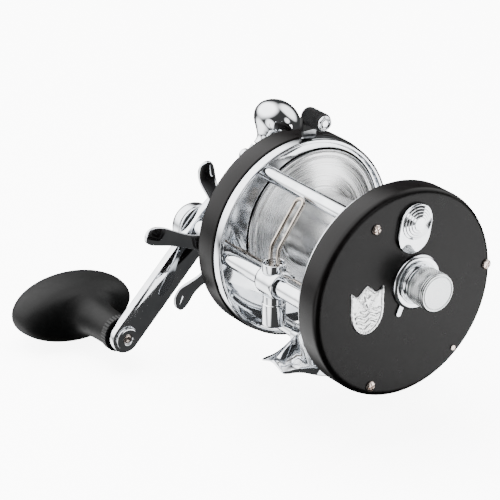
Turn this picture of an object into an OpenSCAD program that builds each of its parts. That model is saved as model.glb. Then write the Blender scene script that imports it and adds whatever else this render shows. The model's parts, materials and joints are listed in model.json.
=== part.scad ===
// Round level-wind trolling reel with a star drag, a power handle and a bait clicker.
// +X runs along the spool from the handle side to the palm side, +Y towards the rear,
// +Z up. The origin lies on the axis of the rod, below the middle of the frame.

/* [Frame] */
// Distance between the two side plates
frame_w = 45.7; // [45.5:0.1:46.5]
// Diameter of the two side plates
plate_d = 68; // [68:0.1:68.6]
// Width of the chromed rim that the handle side's ring shows
ring_w = 3.1; // [2.8:0.1:3.3]
// Width of the chromed rim that the palm side's ring shows
palm_ring_w = 0.6; // [0.5:0.1:1]
// Diameter of the frame pillars
pillar_d = 4.8; // [4.2:0.1:5]

/* [Side plates] */
// Thickness of each side plate at its rim
plate_t = 9; // [9:0.1:9.6]
// Wall thickness of the side plates
plate_wall = 1.6; // [1.3:0.1:1.7]
// Height of the gear housing that stands on the handle side plate
housing_h = 5.2; // [5.2:0.1:6]

/* [Spool] */
// Diameter of the spool flanges
flange_d = 51.1; // [50:0.1:51.3]
// Diameter of the arbor that the line is wound on
arbor_d = 26; // [22:1:30]
// Diameter of the spool shaft
spool_shaft_d = 3.2; // [3:0.1:3.4]

/* [Handle] */
// Distance from the handle's axis to the knob's spindle
handle_reach = 44; // [42:1:48]
// Direction in which the arm points at rest, from the rear upwards
handle_angle = 225.6; // [225:0.1:227]
// Width of the handle arm
arm_w = 10.5; // [9:0.5:12]
// Length of the power knob
knob_l = 44; // [38:1:50]
// Thickness of the power knob
knob_d = 22; // [20:1:24]
// Radius to the tips of the star's arms
star_r = 27; // [22:1:28]

/* [Rod seat] */
// Radius of the rod seat that the foot clamps on
seat_r = 10; // [9.5:0.5:10.5]
// Length of the foot along the rod
foot_l = 60; // [56:1:64]

/* [Gears] */
// Module of every gear
gear_module = 0.6; // [0.59:0.01:0.6]
// Teeth of the main gear
main_teeth = 54; // [54:1:54]
// Teeth of the pinion that turns the spool
pinion_teeth = 14; // [14:1:14]

/* [Travel] */
// Travel of the thumb button that frees the spool
thumb_travel = 2.2; // [1.8:0.1:2.2]
// Travel of the clutch yoke
yoke_travel = 2; // [1.6:0.1:2]
// Travel of the bait clicker's button
click_travel = 4; // [3:0.5:4]

/* [Hidden] */
$fn = 72;

// Colours
chrome = [0.82, 0.83, 0.85];
steel = [0.62, 0.64, 0.66];
brass = [0.78, 0.62, 0.30];
black = [0.10, 0.10, 0.11];
fibre = [0.25, 0.20, 0.16];
nylon = [0.86, 0.85, 0.80];

// Main planes along X
joint_x = frame_w / 2;
rim_x = joint_x + plate_t;
housing_x = rim_x + housing_h;
inner_x = rim_x - 2;
deep_x = housing_x - 2;
web_t = 1.6;
web_x = joint_x - web_t;

// Radii of the shells
plate_r = plate_d / 2;
cavity_r = plate_r - plate_wall;
ring_r = plate_r - 0.5;
lip_r = plate_r - 2;
housing_r = 28.4;
housing_cavity_r = 26.6;
opening_r = flange_d / 2 + 0.45;

// Axes that run along X, as [y, z] from the centre of the side plates
spool_at = [4, 3.2];
drive_at = [-12.9, -8.2];
worm_at = [-28.6, 0.4];
guide_at = [-24.1, 1];
click_at = [2.5, 21.5];
click_lean = 10;
click_up = [sin(click_lean), cos(click_lean)];
click_stem_at = click_at + click_travel / 2 * click_up;
knob_at = drive_at + handle_reach * [cos(handle_angle), sin(handle_angle)];
ball_at = drive_at - 44 * [cos(handle_angle), sin(handle_angle)];
pillars_at = [[-15, 26], [-13.5, -24], [19, -22]];
stud_r = 1.5;
thumb_at = [spool_at[0], 39.7];

// Height of the side plates' centre above the rod's axis
foot_edge_z = -30.9;
foot_tip_w = 12;
seat_top_z = foot_edge_z + seat_r - sqrt(seat_r * seat_r - foot_tip_w * foot_tip_w / 4);
reel_z = seat_r - seat_top_z;

// Clearances
gap = 0.3;
running = 0.05;

// Gear train of the level wind
cog_teeth = 20;
idler_teeth = 16;
worm_teeth = 10;
cog_idler = gear_module * (cog_teeth + idler_teeth) / 2;
idler_worm = gear_module * (idler_teeth + worm_teeth) / 2;
drive_worm = norm(worm_at - drive_at);
drive_worm_dir = (worm_at - drive_at) / drive_worm;
idler_along = (drive_worm * drive_worm + cog_idler * cog_idler - idler_worm * idler_worm)
    / (2 * drive_worm);
idler_side = sqrt(cog_idler * cog_idler - idler_along * idler_along);
idler_at = drive_at + idler_along * drive_worm_dir
    + idler_side * [drive_worm_dir[1], -drive_worm_dir[0]];

// Turning angles at which the teeth mesh at rest
main_turn = angle_to(drive_at, spool_at);
pinion_turn = mesh_turn(drive_at, spool_at, main_teeth, pinion_teeth, main_turn);
cog_turn = 0;
idler_turn = mesh_turn(drive_at, idler_at, cog_teeth, idler_teeth, cog_turn);
worm_turn = mesh_turn(idler_at, worm_at, idler_teeth, worm_teeth, idler_turn);

// Planes of the gear train, from the frame outwards
bridge_x = [-24.2, -23.2];
cog_x = [-25.6, -24.5];
ratchet_x = [-26.9, -25.9];
main_x = [-29.6, -27.2];

// Level-wind carriage
carriage_x = 3;
wire_r = 0.7;

// Clutch, across the line that joins the spool to the main gear
mesh_dir = (drive_at - spool_at) / norm(drive_at - spool_at);
across_dir = [mesh_dir[1], -mesh_dir[0]];
posts_at = [for (s = [-1, 1]) spool_at + 11 * s * across_dir - 3 * mesh_dir];
dog_at = drive_at + [11.5, -6.5];

// Star and handle along X
star_hub_x = [-49, -40];
star_base_x = [-48, -46.4];
star_phase = 5.3;
arm_x = [-62.1, -59.1];
knob_x = -94;
screws_at = [[-11.9, 24.2], [32, 1.8], [-12.6, -28]];
screw_r = 1.25;
takedown_at = [for (a = [117.5, 237.5, 357.5]) 31 * [cos(a), sin(a)]];

function angle_to(a, b) = atan2(b[1] - a[1], b[0] - a[0]);

// Turning angle at which gear b, with teeth_b teeth, meshes with gear a turned by turn_a
function mesh_turn(a, b, teeth_a, teeth_b, turn_a) =
    angle_to(b, a) - (turn_a - angle_to(a, b)) * teeth_a / teeth_b - 180 / teeth_b;

// One tooth of a gear with n teeth: root, pitch and tip of both flanks
function tooth(n, k) =
    let (r = gear_module * n / 2, step = 360 / n, a = k * step)
    [for (p = [
        [-0.40, r - 1.2 * gear_module], [-0.225, r], [-0.105, r + 0.85 * gear_module],
        [0.105, r + 0.85 * gear_module], [0.225, r], [0.40, r - 1.2 * gear_module]])
        p[1] * [cos(a + p[0] * step), sin(a + p[0] * step)]];

function gear_outline(n) = [for (k = [0:n - 1]) each tooth(n, k)];

// Lifts a piece from the side plates' centre to its height above the rod
module at_reel() {
    translate([0, 0, reel_z]) children();
}

// Extrudes an outline drawn in Y and Z along X, between the two places in span
module along_x(span) {
    translate([min(span), 0, 0]) rotate([90, 0, 90])
        linear_extrude(abs(span[1] - span[0])) children();
}

// Round bar or disc along X
module x_bar(r, span, at = [0, 0]) {
    along_x(span) translate(at) circle(r = r);
}

// Ring along X
module x_tube(outer, inner, span, at = [0, 0]) {
    along_x(span) translate(at) difference() {
        circle(r = outer);
        circle(r = inner);
    }
}

// Turns an outline of [radius, x] points about the axis at the place given
module x_turned(points, at = [0, 0]) {
    translate([0, at[0], at[1]]) rotate([90, 0, 90]) rotate_extrude() polygon(points);
}

// Gear with n teeth, a round bore and a turning angle
module x_gear(n, bore, span, at, turn) {
    along_x(span) translate(at) rotate(turn) difference() {
        polygon(gear_outline(n));
        circle(r = bore);
    }
}

// Round dish: outer radius r, from x0 to x1, with its outer edge rounded by e
function dish(r, x0, x1, e) = concat(
    [[0, x0], [r, x0]],
    [for (a = [0:15:90]) [r - e + e * cos(a), x1 - e + e * sin(a)]],
    [[0, x1]]);

// Bar with two round ends, from a to b
module bar_outline(a, b, w) {
    lean = angle_to(a, b);
    polygon(concat(
        [for (t = [-90:10:90]) b + w / 2 * [cos(lean + t), sin(lean + t)]],
        [for (t = [90:10:270]) a + w / 2 * [cos(lean + t), sin(lean + t)]]));
}

// Coil spring along X with its turns spaced evenly
module coil(r, wire, span, turns, at) {
    sides = 6;
    steps = 14;
    rings = turns * steps;
    points = [for (i = [0:rings]) for (j = [0:sides - 1])
        let (a = 360 * i / steps, b = 360 * j / sides, q = r + wire * cos(b))
        [span[0] + wire * sin(b) + (span[1] - span[0]) * i / rings, q * cos(a), q * sin(a)]];
    faces = concat(
        [[for (j = [0:sides - 1]) j]],
        [for (i = [0:rings - 1]) for (j = [0:sides - 1])
            let (k = (j + 1) % sides)
            [i * sides + k, i * sides + j, (i + 1) * sides + j, (i + 1) * sides + k]],
        [[for (j = [sides - 1:-1:0]) rings * sides + j]]);
    translate([0, at[0], at[1]]) polyhedron(points, faces);
}

// ---- Frame ----

module frame_ring(rim_w) {
    difference() {
        union() {
            x_tube(ring_r, lip_r, [joint_x - rim_w, joint_x]);
            x_bar(lip_r, [web_x, joint_x]);
        }
        x_bar(opening_r, [web_x - 1, joint_x + 1], spool_at);
        x_bar(2.9, [web_x - 1, joint_x + 1], worm_at);
        for (p = pillars_at) {
            x_bar(stud_r, [web_x - 1, joint_x + 1], p);
            // Room for the pillar beside the lip
            x_bar(pillar_d / 2 + 0.02, [joint_x - ring_w - 1, web_x], p);
        }
    }
}

module handle_side_ring() {
    at_reel() color(chrome) mirror([1, 0, 0]) frame_ring(ring_w);
}

module palm_side_ring() {
    at_reel() color(chrome) frame_ring(palm_ring_w);
}

module frame_pillars() {
    at_reel() color(chrome) for (p = pillars_at) {
        x_bar(pillar_d / 2, [-web_x, web_x], p);
        for (s = [-1, 1]) x_bar(stud_r, [s * web_x, s * (joint_x - 0.1)], p);
    }
}

// Stamped foot: a saddle that rises to the two lower pillars
module reel_foot() {
    tip_y = [-27, foot_l - 27];
    at_reel() color(chrome) difference() {
        union() {
            hull() {
                for (y = tip_y, s = [-1, 1])
                    translate([s * (foot_tip_w / 2 - 2), y + (y < 0 ? 2 : -2), foot_edge_z])
                        cylinder(r = 2, h = 1.3, $fn = 32);
                translate([-8.6, -14, foot_edge_z]) cube([17.2, 33, 1.3]);
                translate([-2.5, -17, -22]) cube([5, 36, 1]);
            }
            for (i = [1, 2]) x_bar(3.6, [-4.5, 4.5], pillars_at[i]);
            // Skirts that hug the rod seat
            translate([-9.7, -12, foot_edge_z - 2.6]) cube([19.4, 30, 3.4]);
        }
        x_bar(flange_d / 2 + 1.4, [-12, 12], spool_at);
        for (i = [1, 2]) x_bar(pillar_d / 2, [-12, 12], pillars_at[i]);
        translate([0, -40, seat_top_z - seat_r]) rotate([-90, 0, 0])
            cylinder(r = seat_r, h = 90);
    }
}

module levelwind_tube() {
    at_reel() color(chrome) difference() {
        x_tube(3.25, 2.55, [-web_x, web_x], worm_at);
        translate([-18, worm_at[0] - 1.5, worm_at[1] - 4]) cube([36, 3, 4]);
    }
}

module levelwind_guide_bar() {
    at_reel() color(steel) x_bar(0.9, [-web_x, web_x], guide_at);
}

module worm_bushings() {
    at_reel() color(nylon) for (s = [-1, 1])
        x_tube(2.9, 1.5 + running, [s * web_x, s * (joint_x + 0.1)], worm_at);
}

// ---- Handle side ----

module handle_side_plate() {
    notch_w = 9.4;
    at_reel() color(black) difference() {
        mirror([1, 0, 0]) union() {
            x_turned(dish(plate_r, joint_x, rim_x, 2));
            x_turned(dish(housing_r, rim_x - 1, housing_x, 1.5));
            x_bar(6.4, [deep_x - 1, housing_x + 1.6], spool_at);
        }
        x_bar(cavity_r, [-joint_x + 1, -inner_x]);
        x_bar(housing_cavity_r, [-joint_x, -deep_x]);
        // Seat of the spool shaft's bearing, cut back out of the housing's wall
        x_bar(4.5, [-deep_x + 3, -housing_x - 3], spool_at);
        x_bar(6, [-deep_x + 1, -housing_x - 1], drive_at);
        // Notch and slot of the thumb button
        translate([-rim_x - 1, thumb_at[0] - notch_w / 2, plate_r - 1.4])
            cube([plate_t + 2, notch_w, 4]);
        translate([-25.3, thumb_at[0] - 3.3, plate_r - 4]) cube([2.6, 6.6, 6]);
        for (p = takedown_at) x_bar(1.4, [-inner_x + 1, -rim_x - 1], p);
    }
}

module bridge_plate() {
    at_reel() color(brass) difference() {
        x_bar(cavity_r - gap, bridge_x);
        x_bar(5.5, [-25, -22], spool_at);
        x_bar(2.5 + running, [-25, -22], drive_at);
        x_bar(4.2, [-25, -22], worm_at);
        for (p = posts_at) x_bar(1.2, [-25, -22], p);
        x_bar(1.2, [-25, -22], idler_at);
        x_bar(1.2, [-25, -22], dog_at);
        for (p = takedown_at) x_bar(1.4, [-25, -22], p);
        translate([-25, -1, 20.6]) cube([3, 10, 12]);
    }
}

module bridge_posts() {
    at_reel() color(steel) {
        for (p = posts_at) x_bar(1.2, [-deep_x, bridge_x[1]], p);
        x_bar(1.2, [-25.8, bridge_x[1]], idler_at);
        x_bar(1.2, [-27.1, bridge_x[1]], dog_at);
    }
}

// Spacer tubes that hold the bridge plate off the shell
module bridge_screws() {
    at_reel() color(steel) for (p = takedown_at) x_tube(1.3, 0.6, [-inner_x, bridge_x[0]], p);
}

module drive_bushing() {
    at_reel() color(chrome) difference() {
        union() {
            x_bar(6, [-deep_x + 0.6, -housing_x], drive_at);
            x_bar(7.6, [-housing_x, -housing_x - 1.4], drive_at);
        }
        x_bar(4.6 + running, [-deep_x + 2, -housing_x - 3], drive_at);
    }
}

module shielded_bearing(span) {
    x_tube(4.5, spool_shaft_d / 2 + running, span, spool_at);
}

module handle_side_bearing() {
    at_reel() color(steel) shielded_bearing([-housing_x - 1.2, -deep_x + 0.4]);
}

module bearing_cap() {
    at_reel() color(chrome) x_turned([
        [0, -housing_x - 3.4], [5.4, -housing_x - 3.4], [6.8, -housing_x - 2.4],
        [6.8, -housing_x - 1.6], [0, -housing_x - 1.6]], spool_at);
}

module takedown_screws() {
    at_reel() color(chrome) for (p = takedown_at) {
        x_bar(2.2, [-rim_x, -rim_x - 2.6], p);
        x_bar(1.4, [-rim_x, -inner_x], p);
    }
}

// ---- Palm side ----

module palm_side_plate() {
    boss_x = inner_x - 3.6;
    at_reel() color(black) difference() {
        union() {
            difference() {
                x_turned(dish(plate_r, joint_x, rim_x, 2));
                x_bar(cavity_r, [joint_x - 1, inner_x]);
            }
            x_bar(6.6, [boss_x, inner_x + 0.5], spool_at);
        }
        x_bar(4.5, [boss_x - 1, rim_x + 1], spool_at);
        for (p = screws_at) x_bar(screw_r, [inner_x - 1.6, rim_x + 1], p);
        along_x([inner_x - 1, rim_x + 1]) click_slot();
    }
}

module palm_plate_fasteners() {
    at_reel() color(steel) {
        for (p = screws_at) difference() {
            union() {
                x_turned([[0, rim_x], [1.65, rim_x], [1.5, rim_x + 0.7], [0.9, rim_x + 1],
                    [0, rim_x + 1]], p);
                x_bar(screw_r, [inner_x - 1.5, rim_x], p);
            }
            for (a = [0, 90]) translate([rim_x + 0.4, p[0], p[1]])
                rotate([a, 0, 0]) translate([0, -1, -0.2]) cube([1, 2, 0.4]);
        }
        x_bar(0.9, [rim_x, rim_x + 0.4], [19.9, -23.8]);
    }
}

module plate_badge() {
    at_reel() color(chrome) along_x([rim_x, rim_x + 0.7]) translate([-14.6, -1.5])
        polygon(concat(
            [[-6.2, 6.6], [-3.2, 5.4], [0, 8], [3.2, 5.4], [6.2, 6.6]],
            [for (a = [0:-15:-180]) [6.2 * cos(a), 7.6 * sin(a) - 0.6]]));
}

// Slot that the clicker's stem slides in
module click_slot() {
    bar_outline(click_stem_at, click_stem_at - click_travel * click_up, 3.2);
}

module click_bezel() {
    at_reel() color(chrome) difference() {
        along_x([rim_x, rim_x + 1.2])
            bar_outline(click_at + 1.9 * click_up, click_at - 1.9 * click_up, 12.4);
        along_x([rim_x - 1, rim_x + 2]) click_slot();
    }
}

module brake_ring() {
    at_reel() color(brass) difference() {
        x_tube(13.2, 12, [joint_x + 0.1, inner_x], spool_at);
        // Slot for the clicker's pawl
        translate([24.5, spool_at[0], spool_at[1]]) rotate([-click_lean, 0, 0])
            translate([0, -6.1, 8]) cube([10, 6.9, 8]);
    }
}

module palm_side_bearing() {
    at_reel() color(steel) shielded_bearing([inner_x - 3, rim_x - 1.4]);
}

module tension_flange() {
    at_reel() color(chrome) difference() {
        union() {
            x_turned([
                [0, rim_x - 1.2], [4.5, rim_x - 1.2], [4.5, rim_x], [9, rim_x],
                [9, rim_x + 0.8], [8.2, rim_x + 1.5], [6.6, rim_x + 1.5],
                [6, rim_x + 2.2], [6, rim_x + 3.2], [5.4, rim_x + 3.2],
                [4.6, rim_x + 3.6], [4.6, rim_x + 7.6], [0, rim_x + 7.6]], spool_at);
            along_x([rim_x, rim_x + 0.6])
                bar_outline(spool_at + [-4.6, -4.6], spool_at + [-6.6, -9.2], 1.9);
        }
        x_bar(2.4, [rim_x - 2, rim_x + 9], spool_at);
    }
}

module tension_cap() {
    cap_x = rim_x + 3.4;
    cap_end_x = rim_x + 10.8;
    at_reel() color(steel) difference() {
        x_turned([[0, cap_x], [5.9, cap_x], [6.3, cap_x + 0.4], [6.3, cap_end_x - 0.5],
            [5.9, cap_end_x], [0, cap_end_x]], spool_at);
        x_bar(4.6 + running, [cap_x - 1, cap_end_x - 1.4], spool_at);
        x_turned([[0, cap_x - 1], [5.6, cap_x - 1], [5.6, cap_x], [4.6, cap_x + 0.8],
            [0, cap_x + 0.8]], spool_at);
    }
}

module tension_spring_disc() {
    at_reel() color(brass) x_bar(4.2, [rim_x + 9, rim_x + 9.4], spool_at);
}

module click_button() {
    step_h = 0.36;
    step_w = 0.85;
    at_reel() color(chrome) for (i = [1:5])
        x_bar(6.45 - i * step_w, [rim_x + 1.25, rim_x + 1.25 + i * step_h], click_stem_at);
}

// Stem through the plate, with the pawl that ticks on the click gear
module click_pawl() {
    pawl_x = [25, 26];
    tip_at = spool_at + (5 + gap + click_travel) * click_up;
    at_reel() color(brass) {
        x_bar(1.4, [pawl_x[0], rim_x + 1.25], click_stem_at);
        along_x(pawl_x) polygon([
            click_stem_at + [-1.5, 1], click_stem_at - [1.5, 4], tip_at - [0.4, 0],
            tip_at + [0.4, 0], click_stem_at + [1.5, -4], click_stem_at + [1.5, 1]]);
    }
}

// ---- Spool ----

module spool() {
    r = flange_d / 2;
    side = [[arbor_d / 2, 18.6], [arbor_d / 2 + 1, 19.4], [r - 2.2, 20.2], [r - 2.1, 20.5],
        [r - 1.7, 20.5], [r - 1.5, 20.1], [r - 0.4, 20.6], [r, 21], [r, 22.1],
        [r - 1.5, 22.1], [r - 3, 21.5], [8, 21], [5, 22]];
    at_reel() color(chrome) difference() {
        x_turned(concat([[0, 22]], [for (i = [12:-1:0]) side[i]],
            [for (p = side) [p[0], -p[1]]], [[0, -22]]), spool_at);
        x_bar(spool_shaft_d / 2, [-30, 30], spool_at);
    }
}

module spool_shaft() {
    at_reel() color(steel) {
        x_bar(spool_shaft_d / 2, [-housing_x - 1.4, rim_x + 8.9], spool_at);
        translate([-24.3, spool_at[0], spool_at[1] - 3]) cylinder(r = 0.7, h = 6);
    }
}

module click_gear() {
    at_reel() color(nylon) along_x([25, 26]) translate(spool_at) difference() {
        polygon([for (i = [0:31]) (i % 2 == 0 ? 5 : 4) * [cos(11.25 * i), sin(11.25 * i)]]);
        circle(r = spool_shaft_d / 2);
    }
}

module brake_hub() {
    at_reel() color(nylon) difference() {
        union() {
            x_bar(4.2, [22.3, 24.5], spool_at);
            translate([23.4, spool_at[0], spool_at[1] - 10.4]) cylinder(r = 0.8, h = 20.8);
        }
        x_bar(spool_shaft_d / 2, [20, 26], spool_at);
    }
}

module brake_block(s) {
    at_reel() color(fibre)
        translate([23.4, spool_at[0], spool_at[1] + (s > 0 ? 5.4 : -10.4)]) difference() {
            cylinder(r = 1.45, h = 5);
            translate([0, 0, -1]) cylinder(r = 0.8 + running, h = 7);
        }
}

module brake_block_upper() {
    brake_block(1);
}

module brake_block_lower() {
    brake_block(-1);
}

// ---- Gears and drag ----

module main_gear() {
    at_reel() color(brass) difference() {
        x_gear(main_teeth, 3.2 + running, main_x, drive_at, main_turn);
        x_bar(11.2, [main_x[0] - 1, -28.4], drive_at);
    }
}

module drag_washers() {
    at_reel() color(fibre) for (x = [-28.4, -29.8])
        x_tube(10.8, 3.2 + running, [x - 0.6, x], drive_at);
}

module drag_plates() {
    at_reel() color(steel) {
        x_tube(10.6, 3.2 + running, [-29.8, -29], drive_at);
        x_tube(10.6, 3.2 + running, [-31.4, -30.4], drive_at);
    }
}

module pinion() {
    at_reel() color(brass) difference() {
        union() {
            x_gear(pinion_teeth, 1, [-31.9, -27.4], spool_at, pinion_turn);
            x_bar(2.7, [-27.4, -26.2], spool_at);
            x_bar(3.35, [-26.2, -24.5], spool_at);
        }
        x_bar(spool_shaft_d / 2 + running, [-33, -23], spool_at);
        translate([-25.7, spool_at[0] - 0.8, spool_at[1] - 5]) cube([2, 1.6, 10]);
    }
}

module clutch_yoke() {
    at_reel() color(steel) along_x([-27.3, -26.3]) difference() {
        union() {
            bar_outline(posts_at[0], posts_at[1], 8);
            translate([thumb_at[0] - 3.5, 12]) square([7, 5.5]);
        }
        for (p = posts_at) translate(p) circle(r = 1.2 + running);
        translate(spool_at) circle(r = 2.85);
        translate(spool_at) rotate(angle_to(spool_at, drive_at)) translate([0, -2.85])
            square([10, 5.7]);
    }
}

module yoke_springs() {
    at_reel() color(steel) for (p = posts_at)
        coil(2, 0.3, [-deep_x + 0.4, -27.7], 5, p);
}

// Stem of the thumb button, with the ramp that lifts the yoke
module thumb_slide() {
    tip_z = 17.9;
    slope = yoke_travel / thumb_travel;
    top_z = tip_z + thumb_travel;
    at_reel() color(steel) {
        translate([0, thumb_at[0] + 2.5, 0]) rotate([90, 0, 0]) linear_extrude(5)
            polygon([[-24.5, tip_z], [-26, tip_z], [-26 - thumb_travel * slope, top_z],
                [-26 - thumb_travel * slope, top_z + 1.4], [-27, top_z + 2.4],
                [-27, 31], [-24.6, 31], [-24.6, 38], [-23.6, 38], [-23.6, 29.4],
                [-25.4, 29.4], [-25.4, top_z + 2.4], [-24.5, top_z + 1.4]]);
    }
}

module thumb_button() {
    at_reel() color(black) difference() {
        union() {
            x_turned([[0, -25], [2.7, -25], [3.1, -24.5], [3.1, -16.5], [2.8, -16], [0, -16]],
                thumb_at);
            // Foot that sinks into the plate's notch as the button is pressed
            translate([-25, thumb_at[0] - 3.1, 35.1]) cube([1.8, 6.2, 4.6]);
        }
        translate([-24.6, thumb_at[0] - 2.5, 30]) cube([1, 5, 8]);
    }
}

module thumb_button_screw() {
    at_reel() color(chrome) x_turned([
        [0, -16], [2.6, -16], [2.4, -15.5], [1.6, -15.1], [0, -15]], thumb_at);
}

module idler_gear() {
    at_reel() color(nylon)
        x_gear(idler_teeth, 1.2 + running, cog_x, idler_at, idler_turn);
}

module worm_gear() {
    at_reel() color(nylon) x_gear(worm_teeth, 1.5, cog_x, worm_at, worm_turn);
}

module worm_shaft() {
    at_reel() color(steel) {
        x_bar(2.2, [-20.9, 20.9], worm_at);
        x_bar(1.5, [-25.8, joint_x + 0.1], worm_at);
    }
}

// ---- Level wind ----

module levelwind_carriage() {
    body_x = [carriage_x - 4.6, carriage_x + 4.6];
    at_reel() color(chrome) difference() {
        union() {
            x_bar(4.7, body_x, worm_at);
            translate([carriage_x, worm_at[0], -3]) cylinder(r = 3.8, h = 10.2);
            translate([carriage_x - 2.5, worm_at[0], guide_at[1] - 1.9])
                cube([5, guide_at[0] - worm_at[0] + 1.9, 3.8]);
        }
        x_bar(3.25 + running, [carriage_x - 6, carriage_x + 6], worm_at);
        x_bar(0.9 + running, [carriage_x - 6, carriage_x + 6], guide_at);
        translate([carriage_x, worm_at[0], 5.2]) cylinder(r = 3, h = 4);
        translate([carriage_x, worm_at[0], -8]) cylinder(r = 2.6, h = 8);
        for (s = [-1, 1]) translate([carriage_x + s * 1.85, worm_at[0], 4.4])
            cylinder(r = wire_r, h = 2);
    }
}

// Hairpin that the line runs through: two legs that stand up, lean back and join in a loop
module line_guide_wire() {
    sides = 8;
    half_gap = 1.85;
    foot_z = 4.4;
    bend = [worm_at[0], 11.6];
    end = [-19.6, 24.2];
    lean = angle_to(bend, end);
    // Each stop along one leg: its place in Y and Z, and the angle that it runs at
    leg = [[[bend[0], foot_z], 90], [[bend[0], bend[1] - 1.2], 90],
        [bend + [0.1, 0], (90 + lean) / 2], [bend + 1.4 * [cos(lean), sin(lean)], lean], [end, lean]];
    stops = concat(
        [for (s = leg) [[-half_gap, s[0][0], s[0][1]], s[1], 0]],
        [for (a = [15:15:165]) [[-half_gap * cos(a), end[0] + half_gap * sin(a) * cos(lean),
            end[1] + half_gap * sin(a) * sin(lean)], lean, a]],
        [for (i = [4:-1:0]) [[half_gap, leg[i][0][0], leg[i][0][1]], leg[i][1], 180]]);
    points = [for (s = stops) for (j = [0:sides - 1])
        let (b = 360 * j / sides, side = [cos(s[2]), -sin(s[2]) * cos(s[1]), -sin(s[2]) * sin(s[1])],
            face = [0, -sin(s[1]), cos(s[1])])
        s[0] + wire_r * (cos(b) * face + sin(b) * side)];
    last = len(stops) - 1;
    faces = concat(
        [[for (j = [sides - 1:-1:0]) j]],
        [for (i = [0:last - 1]) for (j = [0:sides - 1])
            let (k = (j + 1) % sides)
            [i * sides + j, i * sides + k, (i + 1) * sides + k, (i + 1) * sides + j]],
        [[for (j = [0:sides - 1]) last * sides + j]]);
    at_reel() color(steel) translate([carriage_x, 0, 0]) polyhedron(points, faces);
}

module levelwind_pawl() {
    at_reel() color(steel) translate([carriage_x, worm_at[0], 0]) {
        translate([0, 0, -9.8]) cylinder(r = 2.2, h = 6.4);
        translate([-1, -0.5, -3.4]) cube([2, 1, 1.5]);
    }
}

module pawl_cap() {
    at_reel() color(chrome) translate([carriage_x, worm_at[0], 0]) difference() {
        translate([0, 0, -14]) cylinder(r = 3.8, h = 11);
        translate([0, 0, -10]) cylinder(r = 2.2 + running, h = 8);
        x_bar(4.72, [-5, 5], [0, worm_at[1]]);
    }
}

// ---- Handle ----

module drive_shaft() {
    at_reel() color(steel) {
        x_bar(3.2, [-59.1, -24.4], drive_at);
        x_bar(2.5, [-24.4, bridge_x[1]], drive_at);
        x_bar(3, [arm_x[0], -59.1], drive_at);
        x_bar(2.6, [-65.9, arm_x[0]], drive_at);
    }
}

module ratchet_wheel() {
    teeth = 12;
    at_reel() color(steel) along_x(ratchet_x) translate(drive_at) difference() {
        polygon([for (i = [0:teeth - 1]) each [
            8.6 * [cos(i * 360 / teeth), sin(i * 360 / teeth)],
            7.2 * [cos((i + 0.12) * 360 / teeth), sin((i + 0.12) * 360 / teeth)]]]);
        circle(r = 3.2);
    }
}

module levelwind_cog() {
    at_reel() color(nylon) x_gear(cog_teeth, 3.2, cog_x, drive_at, cog_turn);
}

// Sleeves that carry the star's push to the drag and hold the arm off the star
module drag_sleeve() {
    at_reel() color(steel) {
        x_tube(4.6, 3.2, [star_hub_x[1] + 0.3, -31.6], drive_at);
        x_tube(4.6, 3.2, [arm_x[1], star_hub_x[0] - 0.4], drive_at);
    }
}

module handle_arm() {
    at_reel() color(chrome) difference() {
        union() {
            along_x(arm_x) bar_outline(knob_at, drive_at, arm_w);
            along_x(arm_x) translate(drive_at) rotate(angle_to(drive_at, ball_at))
                polygon([[0, -arm_w / 2], [22, -3.6], [34, -2.6], [34, 2.6], [22, 3.6],
                    [0, arm_w / 2]]);
        }
        x_bar(3, [-63, -58], drive_at);
        x_bar(2.2, [-63, -58], knob_at);
    }
}

module counterweight() {
    mid_x = (arm_x[0] + arm_x[1]) / 2;
    at_reel() color(chrome) translate([mid_x, ball_at[0], ball_at[1]])
        rotate([angle_to(drive_at, ball_at) - 90, 0, 0]) rotate_extrude()
            polygon(concat([[0, -10], [2.6, -10]],
                [for (a = [-60:10:90]) [8.6 * cos(a), 7.2 * sin(a)]], [[0, 7.2]]));
}

module handle_nut() {
    at_reel() color(chrome) along_x([arm_x[0] - 3.2, arm_x[0]]) translate(drive_at)
        difference() {
            circle(r = 5.4, $fn = 6);
            circle(r = 2.6);
        }
}

module nut_cap() {
    cap_x = arm_x[0] - 6.8;
    at_reel() color(chrome) difference() {
        x_turned(concat([[0, arm_x[0]]],
            [[7.6, arm_x[0]], [7.6, cap_x + 2.6]],
            [for (a = [0:15:90]) [5 + 2.6 * cos(a), cap_x + 2.6 - 2.6 * sin(a)]],
            [[0, cap_x]]), drive_at);
        x_bar(5.6, [arm_x[0] - 4.4, arm_x[0] + 1], drive_at);
    }
}

module knob_spindle() {
    at_reel() color(chrome) {
        x_turned([[0, arm_x[1]], [4.2, arm_x[1]], [4.2, arm_x[1] + 0.8], [3.7, arm_x[1] + 1.1],
            [0, arm_x[1] + 1.1]], knob_at);
        x_bar(2.2, [-100, arm_x[1]], knob_at);
    }
}

// Place along X of the star's inner face at radius r, where the arms bend away
function star_bend(r) = let (t = min(1, max(0, (r - 9) / 13)))
    star_base_x[1] - 0.1 - 6.3 * t * t * (3 - 2 * t);

// Arm of the star, upright: its bent side view trimmed to its spoon-shaped front view
module star_arm() {
    stations = [for (i = [0:16]) 4 + (star_r - 4) * i / 16];
    spoon = [[3.6, 3.5], [2.7, 9.3], [2.3, 13.3], [2.5, 17.3], [3.1, 20.9], [3, 23.9],
        [2.3, 25.9], [1, star_r - 0.1]];
    intersection() {
        translate([0, 5, 0]) rotate([90, 0, 0]) linear_extrude(10) polygon(concat(
            [for (r = stations) [star_bend(r), r]],
            [for (i = [16:-1:0]) [star_bend(stations[i]) - 1.4, stations[i]]]));
        translate([-60, 0, 0]) rotate([90, 0, 90]) linear_extrude(20) polygon(concat(
            spoon, [for (i = [7:-1:0]) [-spoon[i][0], spoon[i][1]]]));
    }
}

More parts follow.
